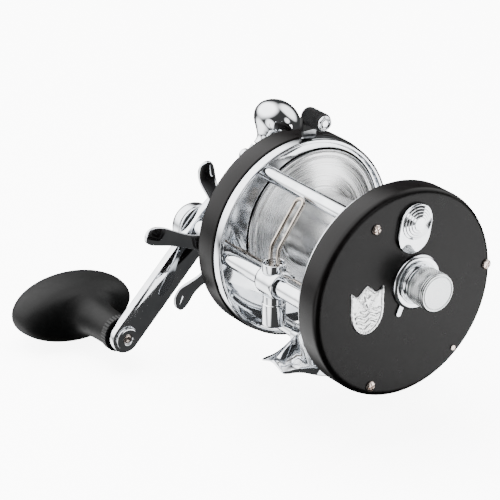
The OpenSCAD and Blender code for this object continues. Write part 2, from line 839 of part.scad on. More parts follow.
module star_drag() {
    at_reel() color(chrome) difference() {
        union() {
            x_bar(5.2, star_hub_x, drive_at);
            x_bar(8, star_base_x, drive_at);
            for (k = [0:4]) translate([0, drive_at[0], drive_at[1]])
                rotate([72 * k + star_phase, 0, 0]) star_arm();
        }
        x_bar(3.2 + running, [-50, -39], drive_at);
    }
}

module power_knob() {
    half_l = knob_l / 2;
    r = knob_d / 2;
    egg = [for (a = [-90:7.5:90]) [r * pow(cos(a), 0.9), half_l * sin(a)]];
    at_reel() color(black) difference() {
        union() {
            translate([knob_x, knob_at[0] - 1, knob_at[1] - 0.8]) rotate([-90, 0, 0])
                rotate_extrude() polygon(egg);
            x_turned([[0, -63], [5.6, -63], [5.7, -68], [6, -76], [7, -81], [9, -86],
                [9, -92], [0, -92]], knob_at);
        }
        x_bar(2.2 + running, [-100.4, -60], knob_at);
    }
}

module anti_reverse_dog() {
    tip = drive_at + [7.4, 6.8];
    at_reel() color(steel) along_x(ratchet_x) difference() {
        union() {
            translate(dog_at) circle(r = 2.3);
            polygon([dog_at + [-1.6, 1.5], dog_at + [1.8, 1.2], tip + [2.6, 1.2], tip + [0.2, 1]]);
        }
        translate(dog_at) circle(r = 1.2 + running);
    }
}

handle_side_ring();
palm_side_ring();
frame_pillars();
reel_foot();
levelwind_tube();
levelwind_guide_bar();
worm_bushings();
handle_side_plate();
bridge_plate();
bridge_posts();
bridge_screws();
drive_bushing();
handle_side_bearing();
bearing_cap();
takedown_screws();
palm_side_plate();
palm_plate_fasteners();
plate_badge();
click_bezel();
brake_ring();
palm_side_bearing();
tension_flange();
tension_cap();
tension_spring_disc();
click_button();
click_pawl();
spool();
spool_shaft();
click_gear();
brake_hub();
brake_block_upper();
brake_block_lower();
main_gear();
drag_washers();
drag_plates();
pinion();
clutch_yoke();
yoke_springs();
thumb_slide();
thumb_button();
thumb_button_screw();
idler_gear();
worm_shaft();
worm_gear();
levelwind_carriage();
line_guide_wire();
levelwind_pawl();
pawl_cap();
drive_shaft();
ratchet_wheel();
levelwind_cog();
drag_sleeve();
handle_arm();
counterweight();
handle_nut();
nut_cap();
knob_spindle();
star_drag();
power_knob();
anti_reverse_dog();
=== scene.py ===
# %% [markdown]
# # Round level-wind trolling reel
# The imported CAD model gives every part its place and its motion. This notebook gives the parts that
# the eye meets their finished surfaces, and gives every part its finish. Lengths are in millimetres
# until a mesh is made, because that is how the reel's parts are measured.

# %% Load the frame
import json

import bmesh
import bpy
import numpy as np
from mathutils import Matrix, Vector


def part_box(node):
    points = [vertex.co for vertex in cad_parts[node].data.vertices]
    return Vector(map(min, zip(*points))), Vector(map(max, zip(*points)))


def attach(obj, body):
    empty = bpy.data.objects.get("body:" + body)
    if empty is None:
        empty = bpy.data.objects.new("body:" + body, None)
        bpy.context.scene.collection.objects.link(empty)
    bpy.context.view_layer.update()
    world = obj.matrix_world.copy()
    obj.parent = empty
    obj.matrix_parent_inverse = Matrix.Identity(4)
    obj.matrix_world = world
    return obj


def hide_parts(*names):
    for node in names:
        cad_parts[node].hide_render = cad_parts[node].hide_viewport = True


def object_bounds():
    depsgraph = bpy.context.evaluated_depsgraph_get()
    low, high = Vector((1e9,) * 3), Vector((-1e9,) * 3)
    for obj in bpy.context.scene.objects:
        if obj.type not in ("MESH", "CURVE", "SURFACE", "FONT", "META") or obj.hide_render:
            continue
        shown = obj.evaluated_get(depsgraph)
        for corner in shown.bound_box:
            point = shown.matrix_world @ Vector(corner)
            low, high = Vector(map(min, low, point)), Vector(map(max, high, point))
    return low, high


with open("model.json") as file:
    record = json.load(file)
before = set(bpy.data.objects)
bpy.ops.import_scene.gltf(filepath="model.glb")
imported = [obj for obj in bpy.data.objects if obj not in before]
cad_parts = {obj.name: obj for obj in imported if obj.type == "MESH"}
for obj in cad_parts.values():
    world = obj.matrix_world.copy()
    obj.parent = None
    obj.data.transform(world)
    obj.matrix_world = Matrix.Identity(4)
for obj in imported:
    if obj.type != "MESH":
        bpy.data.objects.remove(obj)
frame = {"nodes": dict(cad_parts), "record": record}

cad_low, cad_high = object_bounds()
print("CAD box", [round(1000 * v, 1) for v in (*cad_low, *cad_high)])

# %% [markdown]
# Every place comes from the CAD parts. A part's box gives its middle, and a turned part's middle
# lies on its axis, so the axes of the spool, the handle and the level wind are read off the parts
# themselves.


# %% Places read from the CAD parts
def box_mm(node):
    """Lowest and highest corner of a CAD part in millimetres, as two arrays."""
    low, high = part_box(node)
    return 1000 * np.array(low), 1000 * np.array(high)


def axis_of(node):
    """Y and Z of a part's middle: half the sum of its lowest and highest corner."""
    low, high = box_mm(node)
    return (low[1:] + high[1:]) / 2


plates_at = axis_of("palm_side_plate")
spool_at = axis_of("spool")
drive_at = axis_of("drive_bushing")
worm_at = axis_of("levelwind_tube")
guide_at = axis_of("levelwind_guide_bar")
spindle_at = axis_of("knob_spindle")
thumb_at = axis_of("thumb_button_screw")
click_at = axis_of("click_button")
bezel_at = axis_of("click_bezel")

plate_low, plate_high = box_mm("palm_side_plate")
joint_x, rim_x = plate_low[0], plate_high[0]
plate_r = (plate_high[1] - plate_low[1]) / 2
cup_wall = 1.6
boss_high = 1.6
housing_x = -box_mm("handle_side_plate")[0][0] - boss_high
ring_r, lip_r = plate_r - 0.5, plate_r - 2
web_x = joint_x - 1.6
# A hair's breadth that keeps two faces from sharing one place
hair = 0.02
carriage_x = sum(v[0] for v in box_mm("pawl_cap")) / 2
print("plates", plates_at.round(2), "spool", spool_at.round(2), "handle", drive_at.round(2))

# %% [markdown]
# The camera stands to the right of the reel's front and looks down on it through a long lens, as a
# catalogue page would show it, so that near and far parts keep nearly the same scale. Its three
# axes are worked out from the direction it looks from, and a very small roll levels it.


# %% Camera
view_azimuth, view_elevation, view_roll = np.radians([54.91, 23.95, 0.25])
view_distance = 771.85
lens_mm = 176.9
sensor_mm = 36
looked_at = np.array([3.23, plates_at[0], plates_at[1]])
left_of_it, above_it = 30.95, 3.82

back = np.array([
    np.sin(view_azimuth) * np.cos(view_elevation),
    -np.cos(view_azimuth) * np.cos(view_elevation),
    np.sin(view_elevation),
])
level = np.array([np.cos(view_azimuth), np.sin(view_azimuth), 0])
upright = np.cross(back, level)
right = np.cos(view_roll) * level + np.sin(view_roll) * upright
up = np.cos(view_roll) * upright - np.sin(view_roll) * level
aim = looked_at - left_of_it * right + above_it * up

camera_data = bpy.data.cameras.new("catalogue_camera")
camera_data.lens = lens_mm
camera_data.sensor_width = sensor_mm
camera = bpy.data.objects.new("catalogue_camera", camera_data)
bpy.context.scene.collection.objects.link(camera)
camera.matrix_world = Matrix.Translation(Vector((aim + view_distance * back) / 1000)) @ Matrix(
    np.column_stack([right, up, back]).tolist()
).to_4x4()
bpy.context.scene.camera = camera
print("camera at", [round(v, 3) for v in camera.location])

# %% [markdown]
# Polished metal has no look of its own: it shows the room. The room here is a pale floor and a dim
# room with a few large bright panels, as soft as cloth screens. The dark between the panels is what
# draws the edges of chrome. The floor is left out of the reflections, so that it doesn't wash them
# out, and one lit card stands beside the palm side, where its flat bright parts look.


# %% Floor, studio panels and soft box
def srgb(code):
    """Hex colour to linear RGBA: each channel c becomes c / 12.92, or ((c + 0.055) / 1.055) **
    2.4."""
    c = np.array([int(code[i:i + 2], 16) for i in (1, 3, 5)]) / 255
    return (*np.where(c <= 0.04045, c / 12.92, ((c + 0.055) / 1.055) ** 2.4), 1.0)


def add(tree, kind, settings=None, links=None):
    """Adds a node: settings fill its sockets or attributes, links join other nodes' outputs to
    its sockets."""
    node = tree.nodes.new("ShaderNode" + kind)
    for key, value in (settings or {}).items():
        if isinstance(key, int) or key in node.inputs:
            node.inputs[key].default_value = value
        else:
            setattr(node, key, value)
    for key, output in (links or {}).items():
        tree.links.new(output, node.inputs[key])
    return node


def new_material(name, colour, metallic, roughness, fixed=None):
    """A material with one Principled shader; fixed holds sockets that are the same all over."""
    material = bpy.data.materials.new(name)
    material.use_nodes = True
    tree = material.node_tree
    shader = tree.nodes["Principled BSDF"]
    shader.inputs["Base Color"].default_value = srgb(colour)
    shader.inputs["Metallic"].default_value = metallic
    shader.inputs["Roughness"].default_value = roughness
    for key, value in (fixed or {}).items():
        shader.inputs[key].default_value = value
    return material, tree, shader


def flat_card(name, middle, facing, width, height, material):
    """Rectangle about middle that faces a point, as four corners from two directions across its
    normal."""
    normal = np.array(facing, float) - np.array(middle, float)
    normal /= np.linalg.norm(normal)
    side = np.cross([0, 0, 1] if abs(normal[2]) < 0.9 else [0, 1, 0], normal)
    side /= np.linalg.norm(side)
    over = np.cross(normal, side)
    corners = [np.array(middle) + a * width / 2 * side + b * height / 2 * over
               for a, b in ((-1, -1), (1, -1), (1, 1), (-1, 1))]
    mesh = bpy.data.meshes.new(name)
    mesh.from_pydata([tuple(c / 1000) for c in corners], [], [(0, 1, 2, 3)])
    mesh.materials.append(material)
    card = bpy.data.objects.new(name, mesh)
    bpy.context.scene.collection.objects.link(card)
    return card


floor_glow, backdrop_glow, room_glow, card_glow = 7.0, 8.0, 0.07, 1.7
floor_wide, floor_gap = 30000, 0.5
floor_paint, floor_tree, floor_shader = new_material("floor_matt_white_paper", "#F6F6F5", 0, 0.7)
fibres = add(floor_tree, "TexNoise", {"Scale": 400, "Detail": 3},
             {"Vector": add(floor_tree, "TexCoord").outputs["Object"]})
tint = add(floor_tree, "ValToRGB", None, {0: fibres.outputs["Fac"]})
tint.color_ramp.elements[0].color = srgb("#F3F3F2")
tint.color_ramp.elements[1].color = srgb("#F9F9F8")
floor_tree.links.new(tint.outputs["Color"], floor_shader.inputs["Base Color"])
floor_shader.inputs["Emission Color"].default_value = srgb("#FFFFFF")
floor_shader.inputs["Emission Strength"].default_value = floor_glow
floor_z = 1000 * cad_low[2] - floor_gap
floor = flat_card("floor", (0, 0, floor_z), (0, 0, 100), floor_wide, floor_wide, floor_paint)
floor.visible_glossy = False
floor.visible_diffuse = False

world = bpy.data.worlds.new("studio")
bpy.context.scene.world = world
world.use_nodes = True
sky = world.node_tree
direction = add(sky, "TexCoord").outputs["Generated"]
# Each panel of the studio: the direction of its middle, its half width and its edge's softness in
# degrees, and its brightness
panels = [
    ((-0.5, -0.45, 0.74), 46, 16, 5.5),
    ((0.1, 0.8, 0.6), 26, 12, 3.8),
    ((0.15, -0.95, -0.25), 18, 8, 3.6),
    ((-0.6, -0.5, -0.62), 24, 10, 4.2),
    ((0.9, 0.25, 0.35), 12, 5, 3.0),
]
light = None
for toward, half_width, softness, brightness in panels:
    toward = np.array(toward) / np.linalg.norm(toward)
    near = add(sky, "VectorMath", {"operation": "DOT_PRODUCT", 1: tuple(toward)},
               {0: direction}).outputs["Value"]
    edge = np.cos(np.radians([half_width + softness, half_width - softness]))
    panel = add(sky, "MapRange", {"interpolation_type": "SMOOTHSTEP", "From Min": edge[0],
                                  "From Max": edge[1],
                                  "To Min": 0.0, "To Max": brightness},
                {"Value": near}).outputs["Result"]
    light = panel if light is None else add(sky, "Math", {"operation": "ADD"},
                                            {0: light, 1: panel}).outputs[0]
light = add(sky, "Math", {"operation": "ADD", 1: room_glow}, {0: light}).outputs[0]
seen = add(sky, "Mix", {"data_type": "FLOAT", "B": backdrop_glow},
           {"Factor": add(sky, "LightPath").outputs["Is Camera Ray"], "A": light}).outputs["Result"]
sky.links.new(seen, sky.nodes["Background"].inputs["Strength"])
sky.nodes["Background"].inputs["Color"].default_value = srgb("#FFFFFF")


def soft_box(name, middle, size_mm, watts):
    """Square area light that faces the reel."""
    data = bpy.data.lights.new(name, "AREA")
    data.size = size_mm / 1000
    data.energy = watts
    light = bpy.data.objects.new(name, data)
    bpy.context.scene.collection.objects.link(light)
    light.location = Vector(middle) / 1000
    light.rotation_euler = (Vector((0, 0, 40)) - Vector(middle)).to_track_quat("-Z", "Y").to_euler()
    light.visible_glossy = False
    return light


soft_box("overhead_soft_box", (-60, -120, 900), 700, 14)

glow, _, glow_shader = new_material("reflector_card_lit", "#FFFFFF", 0, 0.9)
glow_shader.inputs["Emission Color"].default_value = srgb("#FFFFFF")
glow_shader.inputs["Emission Strength"].default_value = card_glow
palm_side = np.array([rim_x, 0, plates_at[1]])
mirrored_view = np.array([0.748, 0.525, -0.406])
card_away, card_size = 88, 104
card_at = palm_side + card_away * mirrored_view + [0, 8, 6]
reflector = flat_card("reflector_card", card_at, palm_side, card_size, card_size, glow)
reflector.visible_camera = reflector.visible_diffuse = reflector.visible_shadow = False

# %% [markdown]
# A reel is mostly turned work: a profile spun about an axis. The same idea makes nearly every piece
# here. A piece is a stack of rings of points, and a skin joins each ring to the next. Rings of one
# radius make a bar, rings that follow a profile make a turned part, and rings whose radius changes
# round the circle make a knurl. Blender's Spin or Screw could do it as well, but whole arrays keep
# every edge sharp where the lathe leaves it sharp, and let one formula cut a thousand knurls.


# %% Skins of rings
# Points round a small piece and round the big rims, where a facet would show
AROUND, RIM_AROUND = 128, 192


def turn_angles(around=AROUND):
    """Equal angles from 0 to one full turn, the last one left out."""
    return np.arange(around) * 2 * np.pi / around


def skin(rings, closed=False):
    """Joins each ring's points to their neighbours and to the next ring. An open stack has flat
    ends, a closed one joins its last ring to its first."""
    rings = np.asarray(rings, float)
    count, around = rings.shape[:2]
    index = np.arange(count * around).reshape(count, around)
    rows = np.vstack([index, index[:1]]) if closed else index
    a, b = rows[:-1], rows[1:]
    faces = np.stack([a, np.roll(a, -1, 1), np.roll(b, -1, 1), b], -1).reshape(-1, 4).tolist()
    if not closed:
        faces += [index[0, ::-1].tolist(), index[-1].tolist()]
    return rings.reshape(-1, 3), faces


def together(*shapes):
    """Puts several shapes in one, with the later ones' face numbers moved up by the points
    before them."""
    points, faces, start = [], [], 0
    for shape_points, shape_faces in shapes:
        points.append(shape_points)
        faces += [[start + i for i in face] for face in shape_faces]
        start += len(shape_points)
    return np.vstack(points), faces


def rounded(outline, radius, steps=5):
    """Rounds the corners of an open outline: between points a radius before and after each
    corner it follows the curve (1-t)^2 before + 2t(1-t) corner + t^2 after."""
    points = np.asarray(outline, float)
    result = [points[:1]]
    t = np.linspace(0, 1, steps)[:, None]
    for before, corner, after in zip(points[:-2], points[1:-1], points[2:]):
        to_before, to_after = before - corner, after - corner
        reach = min(radius, 0.45 * np.linalg.norm(to_before), 0.45 * np.linalg.norm(to_after))
        start = corner + to_before * reach / np.linalg.norm(to_before)
        end = corner + to_after * reach / np.linalg.norm(to_after)
        result.append((1 - t) ** 2 * start + 2 * t * (1 - t) * corner + t ** 2 * end)
    return np.vstack([*result, points[-1:]])


def turned(profile, at, angles=None):
    """Turns [x, r] points about the line along X through at: y = at_y + r cos a, z = at_z + r
    sin a."""
    angles = turn_angles() if angles is None else angles
    x, r = np.asarray(profile, float).T[:, :, None]
    return np.stack(np.broadcast_arrays(
        x, at[0] + r * np.cos(angles), at[1] + r * np.sin(angles)), -1)


def disc(x0, x1, r, at, edge=0.25):
    """Solid turned disc or bar from x0 to x1 with its two edges rounded."""
    return skin(turned(rounded([[x0, 0.05], [x0, r], [x1, r], [x1, 0.05]], edge), at))


def washer(x0, x1, outer, inner, at, edge=0.15):
    """Ring of rectangular section with rounded outer edges, closed on itself."""
    loop = rounded([[x0, inner], [x0, outer], [x1, outer], [x1, inner]], edge)
    return skin(turned(loop, at), closed=True)


def piece(name, shape, body, material, stands_for=(), smooth_below=38):
    """Makes the mesh in metres with its faces outwards, sharp where two faces meet at more than
    smooth_below degrees, and lets it ride on its CAD body."""
    points, faces = shape
    mesh = bpy.data.meshes.new(name)
    mesh.from_pydata((points / 1000).tolist(), [], faces)
    work = bmesh.new()
    work.from_mesh(mesh)
    if work.calc_volume(signed=True) < 0:
        bmesh.ops.reverse_faces(work, faces=work.faces)
    work.to_mesh(mesh)
    work.free()
    mesh.polygons.foreach_set("use_smooth", np.ones(len(mesh.polygons), bool))
    mesh.set_sharp_from_angle(angle=np.radians(smooth_below))
    mesh.materials.append(material)
    made = bpy.data.objects.new(name, mesh)
    bpy.context.scene.collection.objects.link(made)
    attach(made, body)
    if stands_for:
        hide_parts(*stands_for)
    print(name, len(mesh.polygons), "faces")
    return made

# %% [markdown]
# Chrome plate is a mirror with a faint unevenness from polishing before plating. A noise a few
# millimetres across moves its roughness, and a very low bump bends the reflections a little, which
# a perfect surface never does. Its colour is slightly blue against steel.


# %% Finishes: the bright metals
def object_place(tree):
    """Object coordinates: metres in the reel's own frame, the same for every piece."""
    return add(tree, "TexCoord").outputs["Object"]


def noise_mm(tree, grain, detail=3, place=None):
    """Noise whose blobs are about grain millimetres across."""
    return add(tree, "TexNoise", {"Scale": 1000 / grain, "Detail": detail},
               {"Vector": place or object_place(tree)}).outputs["Fac"]


def between(tree, value, low, high):
    """Stretches 0.3..0.7, where noise spends its time, to low..high."""
    return add(tree, "MapRange", {"From Min": 0.3, "From Max": 0.7, "To Min": low, "To Max": high},
               {"Value": value}).outputs["Result"]


def set_bump(tree, shader, height, depth_mm, strength=1.0):
    """Bump whose heights of 0..1 stand for depth_mm."""
    bump = add(tree, "Bump", {"Strength": strength, "Distance": depth_mm / 1000},
               {"Height": height})
    tree.links.new(bump.outputs["Normal"], shader.inputs["Normal"])


def set_two_tone(tree, shader, value, dark, light):
    """Base colour between two hex colours by a noise value."""
    ramp = add(tree, "ValToRGB", None, {0: value})
    ramp.color_ramp.elements[0].position, ramp.color_ramp.elements[1].position = 0.35, 0.65
    ramp.color_ramp.elements[0].color, ramp.color_ramp.elements[1].color = srgb(dark), srgb(light)
    tree.links.new(ramp.outputs["Color"], shader.inputs["Base Color"])


def polished(name, dark, light, low, high, grain=5.0, depth=0.004):
    """Polished metal: two near tones, roughness from low to high, and a shallow unevenness."""
    material, tree, shader = new_material(name, light, 1.0, low)
    cloud = noise_mm(tree, grain)
    set_two_tone(tree, shader, cloud, dark, light)
    tree.links.new(between(tree, cloud, low, high), shader.inputs["Roughness"])
    set_bump(tree, shader, noise_mm(tree, grain * 0.6, 2), depth, 0.5)
    return material


def radius_mm(tree, at):
    """Distance from the line along X through at: the length of the place with X taken out."""
    moved = add(tree, "VectorMath", {"operation": "SUBTRACT", 1: (0, at[0] / 1000, at[1] / 1000)},
                {0: object_place(tree)})
    plane = add(tree, "VectorMath", {"operation": "MULTIPLY", 1: (0, 1000, 1000)},
                {0: moved.outputs["Vector"]})
    return add(tree, "VectorMath", {"operation": "LENGTH"},
               {0: plane.outputs["Vector"]}).outputs["Value"]


def lathe_turned(name, dark, light, roughness, at, pitch, depth):
    """Turned metal: grooves pitch mm apart round the axis at, finer in reality and drawn as
    coarse as they need to be to show. A noise of the radius alone makes some grooves deeper than
    others."""
    material, tree, shader = new_material(name, light, 1.0, roughness)
    radius = radius_mm(tree, at)
    groove = add(tree, "TexNoise", {"noise_dimensions": "1D", "Scale": 1 / pitch, "Detail": 4},
                 {"W": radius}).outputs["Fac"]
    set_two_tone(tree, shader, groove, dark, light)
    tree.links.new(between(tree, groove, roughness * 0.7, roughness * 1.4),
                   shader.inputs["Roughness"])
    set_bump(tree, shader, groove, depth)
    return material


chrome = polished("chrome_plate_mirror", "#D3D6DA", "#E4E6E9", 0.035, 0.085, 5.0, 0.0012)
bright_steel = polished("stainless_bright_drawn", "#9A928A", "#B3ABA3", 0.14, 0.22, 2.0)
screw_steel = polished("screw_steel_warm_grey", "#B5A69D", "#D2C5BD", 0.2, 0.3, 1.2)
satin_steel = polished("steel_ground_satin", "#989A9C", "#AEB0B2", 0.28, 0.4, 1.5, 0.006)
frosted_silver = polished("nickel_cast_frosted", "#D6D7D8", "#ECECEC", 0.26, 0.4, 0.8, 0.03)
machined_brass = polished("brass_machined", "#B08D4C", "#CFAE6B", 0.2, 0.34, 2.0)
spool_metal = lathe_turned("aluminium_turned_polished", "#D6D7D8", "#ECECEC", 0.24, spool_at, 0.4,
                           0.002)
cap_metal = lathe_turned("aluminium_satin_turned", "#B4B7B9", "#CDCFD0", 0.2, spool_at, 0.3, 0.006)

# %% [markdown]
# The side plates are aluminium under satin black enamel: a very dark brown black with a soft gloss
# and the fine orange peel of sprayed paint. The knob is a soft-touch rubber moulding, which
# scatters light so evenly that it shows only one broad dull highlight.


# %% Finishes: paint, rubber, fibre and plastic
def painted(name, dark, light, low, high, grain, depth, level):
    """Paint or plastic: two tones, roughness from low to high, and a skin with grain mm between
    bumps."""
    material, tree, shader = new_material(name, light, 0.0, low, {"Specular IOR Level": level})
    cloud = noise_mm(tree, grain * 8)
    set_two_tone(tree, shader, cloud, dark, light)
    tree.links.new(between(tree, cloud, low, high), shader.inputs["Roughness"])
    set_bump(tree, shader, noise_mm(tree, grain, 2), depth, 0.6)
    return material


enamel = painted("enamel_black_satin", "#060505", "#0A0808", 0.27, 0.33, 0.35, 0.004, 0.12)
soft_rubber = painted("rubber_black_soft_touch", "#060606", "#0A0A0A", 0.5, 0.58, 0.3, 0.008, 0.16)
black_anodise = painted("anodised_black", "#060607", "#0B0B0C", 0.3, 0.4, 0.5, 0.004, 0.2)
pressed_fibre = painted("fibre_pressed_brown", "#2A211A", "#3B3026", 0.7, 0.85, 0.25, 0.03, 0.3)
acetal = painted("acetal_moulded_ivory", "#D9D6C8", "#E6E3D6", 0.35, 0.45, 0.6, 0.006, 0.5)

finish_of = {
    "polished_chrome": chrome, "turned_aluminium": spool_metal, "steel": satin_steel,
    "brass": machined_brass, "black_plate": enamel, "black_knurl": black_anodise,
    "soft_grip": soft_rubber, "fibre": pressed_fibre, "nylon": acetal, "knurled_cap": cap_metal,
}
for part in frame["record"]["subparts"]:
    mesh = frame["nodes"][part["node"]].data
    mesh.materials.clear()
    mesh.materials.append(finish_of[part["material_slot"]])
blackened_brass = polished("brass_blackened", "#1A1713", "#231F1A", 0.35, 0.5)
for name in ("bridge_plate", "brake_ring"):
    frame["nodes"][name].data.materials[0] = blackened_brass
print("finishes on", len(frame["nodes"]), "CAD parts")

# %% [markdown]
# Each side plate is a deep black cup turned from aluminium. The palm side's is plain with a rounded
# shoulder, and the handle side's carries a round housing for the gears and a notch for the thumb
# button. The notch is cut by lowering every point of the rim that stands above it, so two angles
# are placed at each of its edges to keep the walls upright.


# %% Side plates
def cup_profile(sign, housing=None):
    """Profile of a black cup as [x, r]: out along its inner wall, round the rim and in over its
    face. A housing, given as [x, r], stands on the face and is hollow too."""
    inner = [[joint_x + hair, plate_r - cup_wall], [rim_x - 2, plate_r - cup_wall]][::-1]
    outer = [[joint_x + hair, plate_r], [rim_x, plate_r]]
    if housing:
        x, r = housing
        inner = [[x - 2, 0.3], [x - 2, r - 1.8], [rim_x - 2, r - 1.8], *inner]
        outer += [[rim_x, r], [x, r], [x, 0.3]]
    else:
        inner = [[rim_x - 2, 0.3], *inner]
        outer += [[rim_x, 0.3]]
    return np.array(inner + outer) * [sign, 1]


housing_r, notch_half, notch_deep = 28.4, 4.7, 1.4
notch_z = plates_at[1] + plate_r - notch_deep
notch_edges = [np.arccos((thumb_at[0] - plates_at[0] + s * notch_half) / plate_r) for s in (-1, 1)]
notch_angles = np.sort(np.concatenate(
    [turn_angles(RIM_AROUND), *[[e - 0.0006, e + 0.0006] for e in notch_edges]]))
cup = turned(rounded(cup_profile(-1, (housing_x + hair, housing_r)), 1.9, 7), plates_at,
             notch_angles)
in_notch = (np.abs(cup[..., 1] - thumb_at[0]) < notch_half) & (cup[..., 2] > notch_z)
cup[..., 2] = np.where(in_notch, notch_z, cup[..., 2])
boss_r, bore_r = 6.4, 4.5
boss_x = -housing_x - boss_high
boss = skin(turned(rounded([[-housing_x, bore_r], [-housing_x, boss_r], [boss_x, boss_r],
                            [boss_x, bore_r]], 0.2), spool_at), closed=True)
piece("handle_plate_shell", together(skin(cup), boss), "frame", enamel,
      ["handle_side_plate"])
palm_cup = skin(turned(rounded(cup_profile(1), 2.2, 9), plates_at, turn_angles(RIM_AROUND)))
piece("palm_plate_shell", palm_cup, "frame", enamel, ["palm_side_plate"])

# %% [markdown]
# Between the plates stands the chromed frame: two rings and three pillars. A ring has a raised lip
# and a flat web, and the web's opening is set off the ring's middle because the spool sits high and
# to the rear. So the ring is skinned from circles about two centres: those of the lip and those of
# the opening.


# %% Frame rings
def circle(x, r, at):
    """One ring of points about the line along X through at."""
    return turned([[x, r]], at, turn_angles(RIM_AROUND))[0]


def frame_ring(sign):
    """Lip circles about the plate's middle, then web circles about the spool's, closed on
    themselves. The palm side's lip is a thin rim, which leaves the carriage room at its last
    place."""
    opening = box_mm("spool")[1][1] - spool_at[0] + 0.45
    lip_x = joint_x - (0.6 if sign > 0 else 3.1)
    edge = 0.5 if sign < 0 else 0.2
    rings = [circle(joint_x - hair, ring_r, plates_at), circle(lip_x + edge, ring_r, plates_at),
             circle(lip_x + 0.3 * edge, ring_r - 0.3 * edge, plates_at),
             circle(lip_x, ring_r - edge, plates_at)]
    if sign < 0:
        rings += [circle(lip_x, lip_r + 0.35, plates_at),
                  circle(lip_x + 0.1, lip_r + 0.1, plates_at),
                  circle(lip_x + 0.35, lip_r, plates_at), circle(web_x - 0.3, lip_r, plates_at)]
    else:
        rings += [circle(lip_x, lip_r, plates_at), circle(web_x + 0.2, lip_r, plates_at)]
    rings += [
        circle(web_x, lip_r - 0.35, plates_at),
        circle(web_x, opening + 0.3, spool_at), circle(web_x + 0.1, opening + 0.08, spool_at),
        circle(web_x + 0.3, opening, spool_at), circle(joint_x - hair, opening, spool_at),
    ]
    rings = np.array(rings)
    rings[..., 0] *= sign
    return skin(rings, closed=True)


for name, sign in (("handle_side_ring", -1), ("palm_side_ring", 1)):
    piece(name + "_plated", frame_ring(sign), "frame", chrome, [name])

# Each pillar's place in Y and Z from the plates' middle: the top one and the two above the foot
pillars = [[-15, 26], [-13.5, -24], [19, -22]]
pillar_r, guide_r = 2.4, 0.9
shapes = [disc(-web_x - 0.6, web_x + 0.6, pillar_r, plates_at + p) for p in pillars]
piece("pillar_bars", together(*shapes), "frame", chrome, ["frame_pillars"])
piece("guide_bar_drawn", disc(-web_x - 0.5, web_x + 0.5, guide_r, guide_at), "frame", bright_steel,
      ["levelwind_guide_bar"])

# %% [markdown]
# The level wind's worm runs in a tube with a long slot below, through which the carriage's pawl
# reaches the worm. The tube is a skin over cross-sections: outside the slot's stretch a section is
# a full ring, and along the slot it is a ring with a gap.


# %% Level-wind tube
def slotted_tube(span, slot, outer, inner, half_gap, at):
    """Two full tubes and between them a C-shaped bar whose section runs round the gap at the
    bottom."""
    gap = np.arcsin(half_gap / outer)
    sweep = np.linspace(-np.pi / 2 + gap, 3 * np.pi / 2 - gap, 72)
    section = np.vstack([
        np.column_stack([outer * np.cos(sweep), outer * np.sin(sweep)]),
        np.column_stack([inner * np.cos(sweep[::-1]), inner * np.sin(sweep[::-1])])]) + at
    rings = [np.column_stack([np.full(len(section), x), section]) for x in slot]
    return together(
        skin(rings),
        washer(span[0], slot[0], outer, inner, at, hair),
        washer(slot[1], span[1], outer, inner, at, hair))


tube_end, slot_end = web_x + 0.5, 18
tube_r, tube_bore, slot_half = 3.25, 2.55, 1.5
tube = slotted_tube((-tube_end, tube_end), (-slot_end, slot_end), tube_r, tube_bore, slot_half,
                    worm_at)
piece("worm_tube", tube, "frame", chrome, ["levelwind_tube"])

# %% [markdown]
# The spool is turned from one bar of aluminium. Each flange has a bright rim band, a fine groove
# and then a dished face that meets the arbor. The small steps are what catch the light, so the
# profile keeps them all.

# %% Spool
flange_r = box_mm("spool")[1][1] - spool_at[0]
# Each row: place along the spool, radius
flange_side = [
    [18.6, 13], [19.4, 13.6], [20.0, 18], [20.3, flange_r - 2.5], [20.75, flange_r - 2.3],
    [20.75, flange_r - 1.9], [20.35, flange_r - 1.7], [20.6, flange_r - 0.5],
    [20.9, flange_r - 0.08],
    [21.9, flange_r - 0.08], [22.05, flange_r - 1.2], [21.6, flange_r - 3], [21.0, 9], [22.0, 5.2],
    [22.0, 1.6],
]
spool_profile = [[-x, r] for x, r in flange_side[::-1]] + flange_side
piece("spool_turned", skin(turned(rounded(spool_profile, 0.18, 3), spool_at,
                                  turn_angles(RIM_AROUND))),
      "spool", spool_metal, ["spool"])

# %% [markdown]
# The level-wind carriage is a small chromed casting: a barrel that slides on the worm tube, an
# upright cup that holds the line guide's feet, a shoe that hooks over the guide bar and, below, the
# cap that keeps the pawl in.


# %% Carriage
def upright(profile, at, angles=None):
    """Turns [z, r] points about an upright line through at = (x, y)."""
    angles = turn_angles(64) if angles is None else angles
    z, r = np.asarray(profile, float).T[:, :, None]
    return np.stack(np.broadcast_arrays(
        at[0] + r * np.cos(angles), at[1] + r * np.sin(angles), z), -1)


carriage_at = (carriage_x, worm_at[0])
cup_top = box_mm("levelwind_carriage")[1][2]
cap_bottom = box_mm("pawl_cap")[0][2]
worm_z = worm_at[1]
barrel = skin(turned(rounded([
    [carriage_x - 4.6, 3.35], [carriage_x - 4.6, 4.3], [carriage_x - 3.4, 4.7],
    [carriage_x + 3.4, 4.7],
    [carriage_x + 4.6, 4.3], [carriage_x + 4.6, 3.35]], 0.4), worm_at), closed=True)
cup_shape = skin(upright(rounded([
    [worm_z + 4.2, 0.1], [worm_z + 4.2, 3.1], [cup_top - 3.1, 3.25], [cup_top - 2.9, 3.8],
    [cup_top, 3.8],
    [cup_top, 3.15], [cup_top - 1.9, 3.05], [cup_top - 1.9, 0.1]], 0.25), carriage_at))
saddle = skin(upright(rounded([
    [worm_z + 3.3, 0.1], [worm_z + 3.3, 3.6], [worm_z + 4.4, 3.1], [worm_z + 4.6, 0.1]], 0.3),
                      carriage_at))


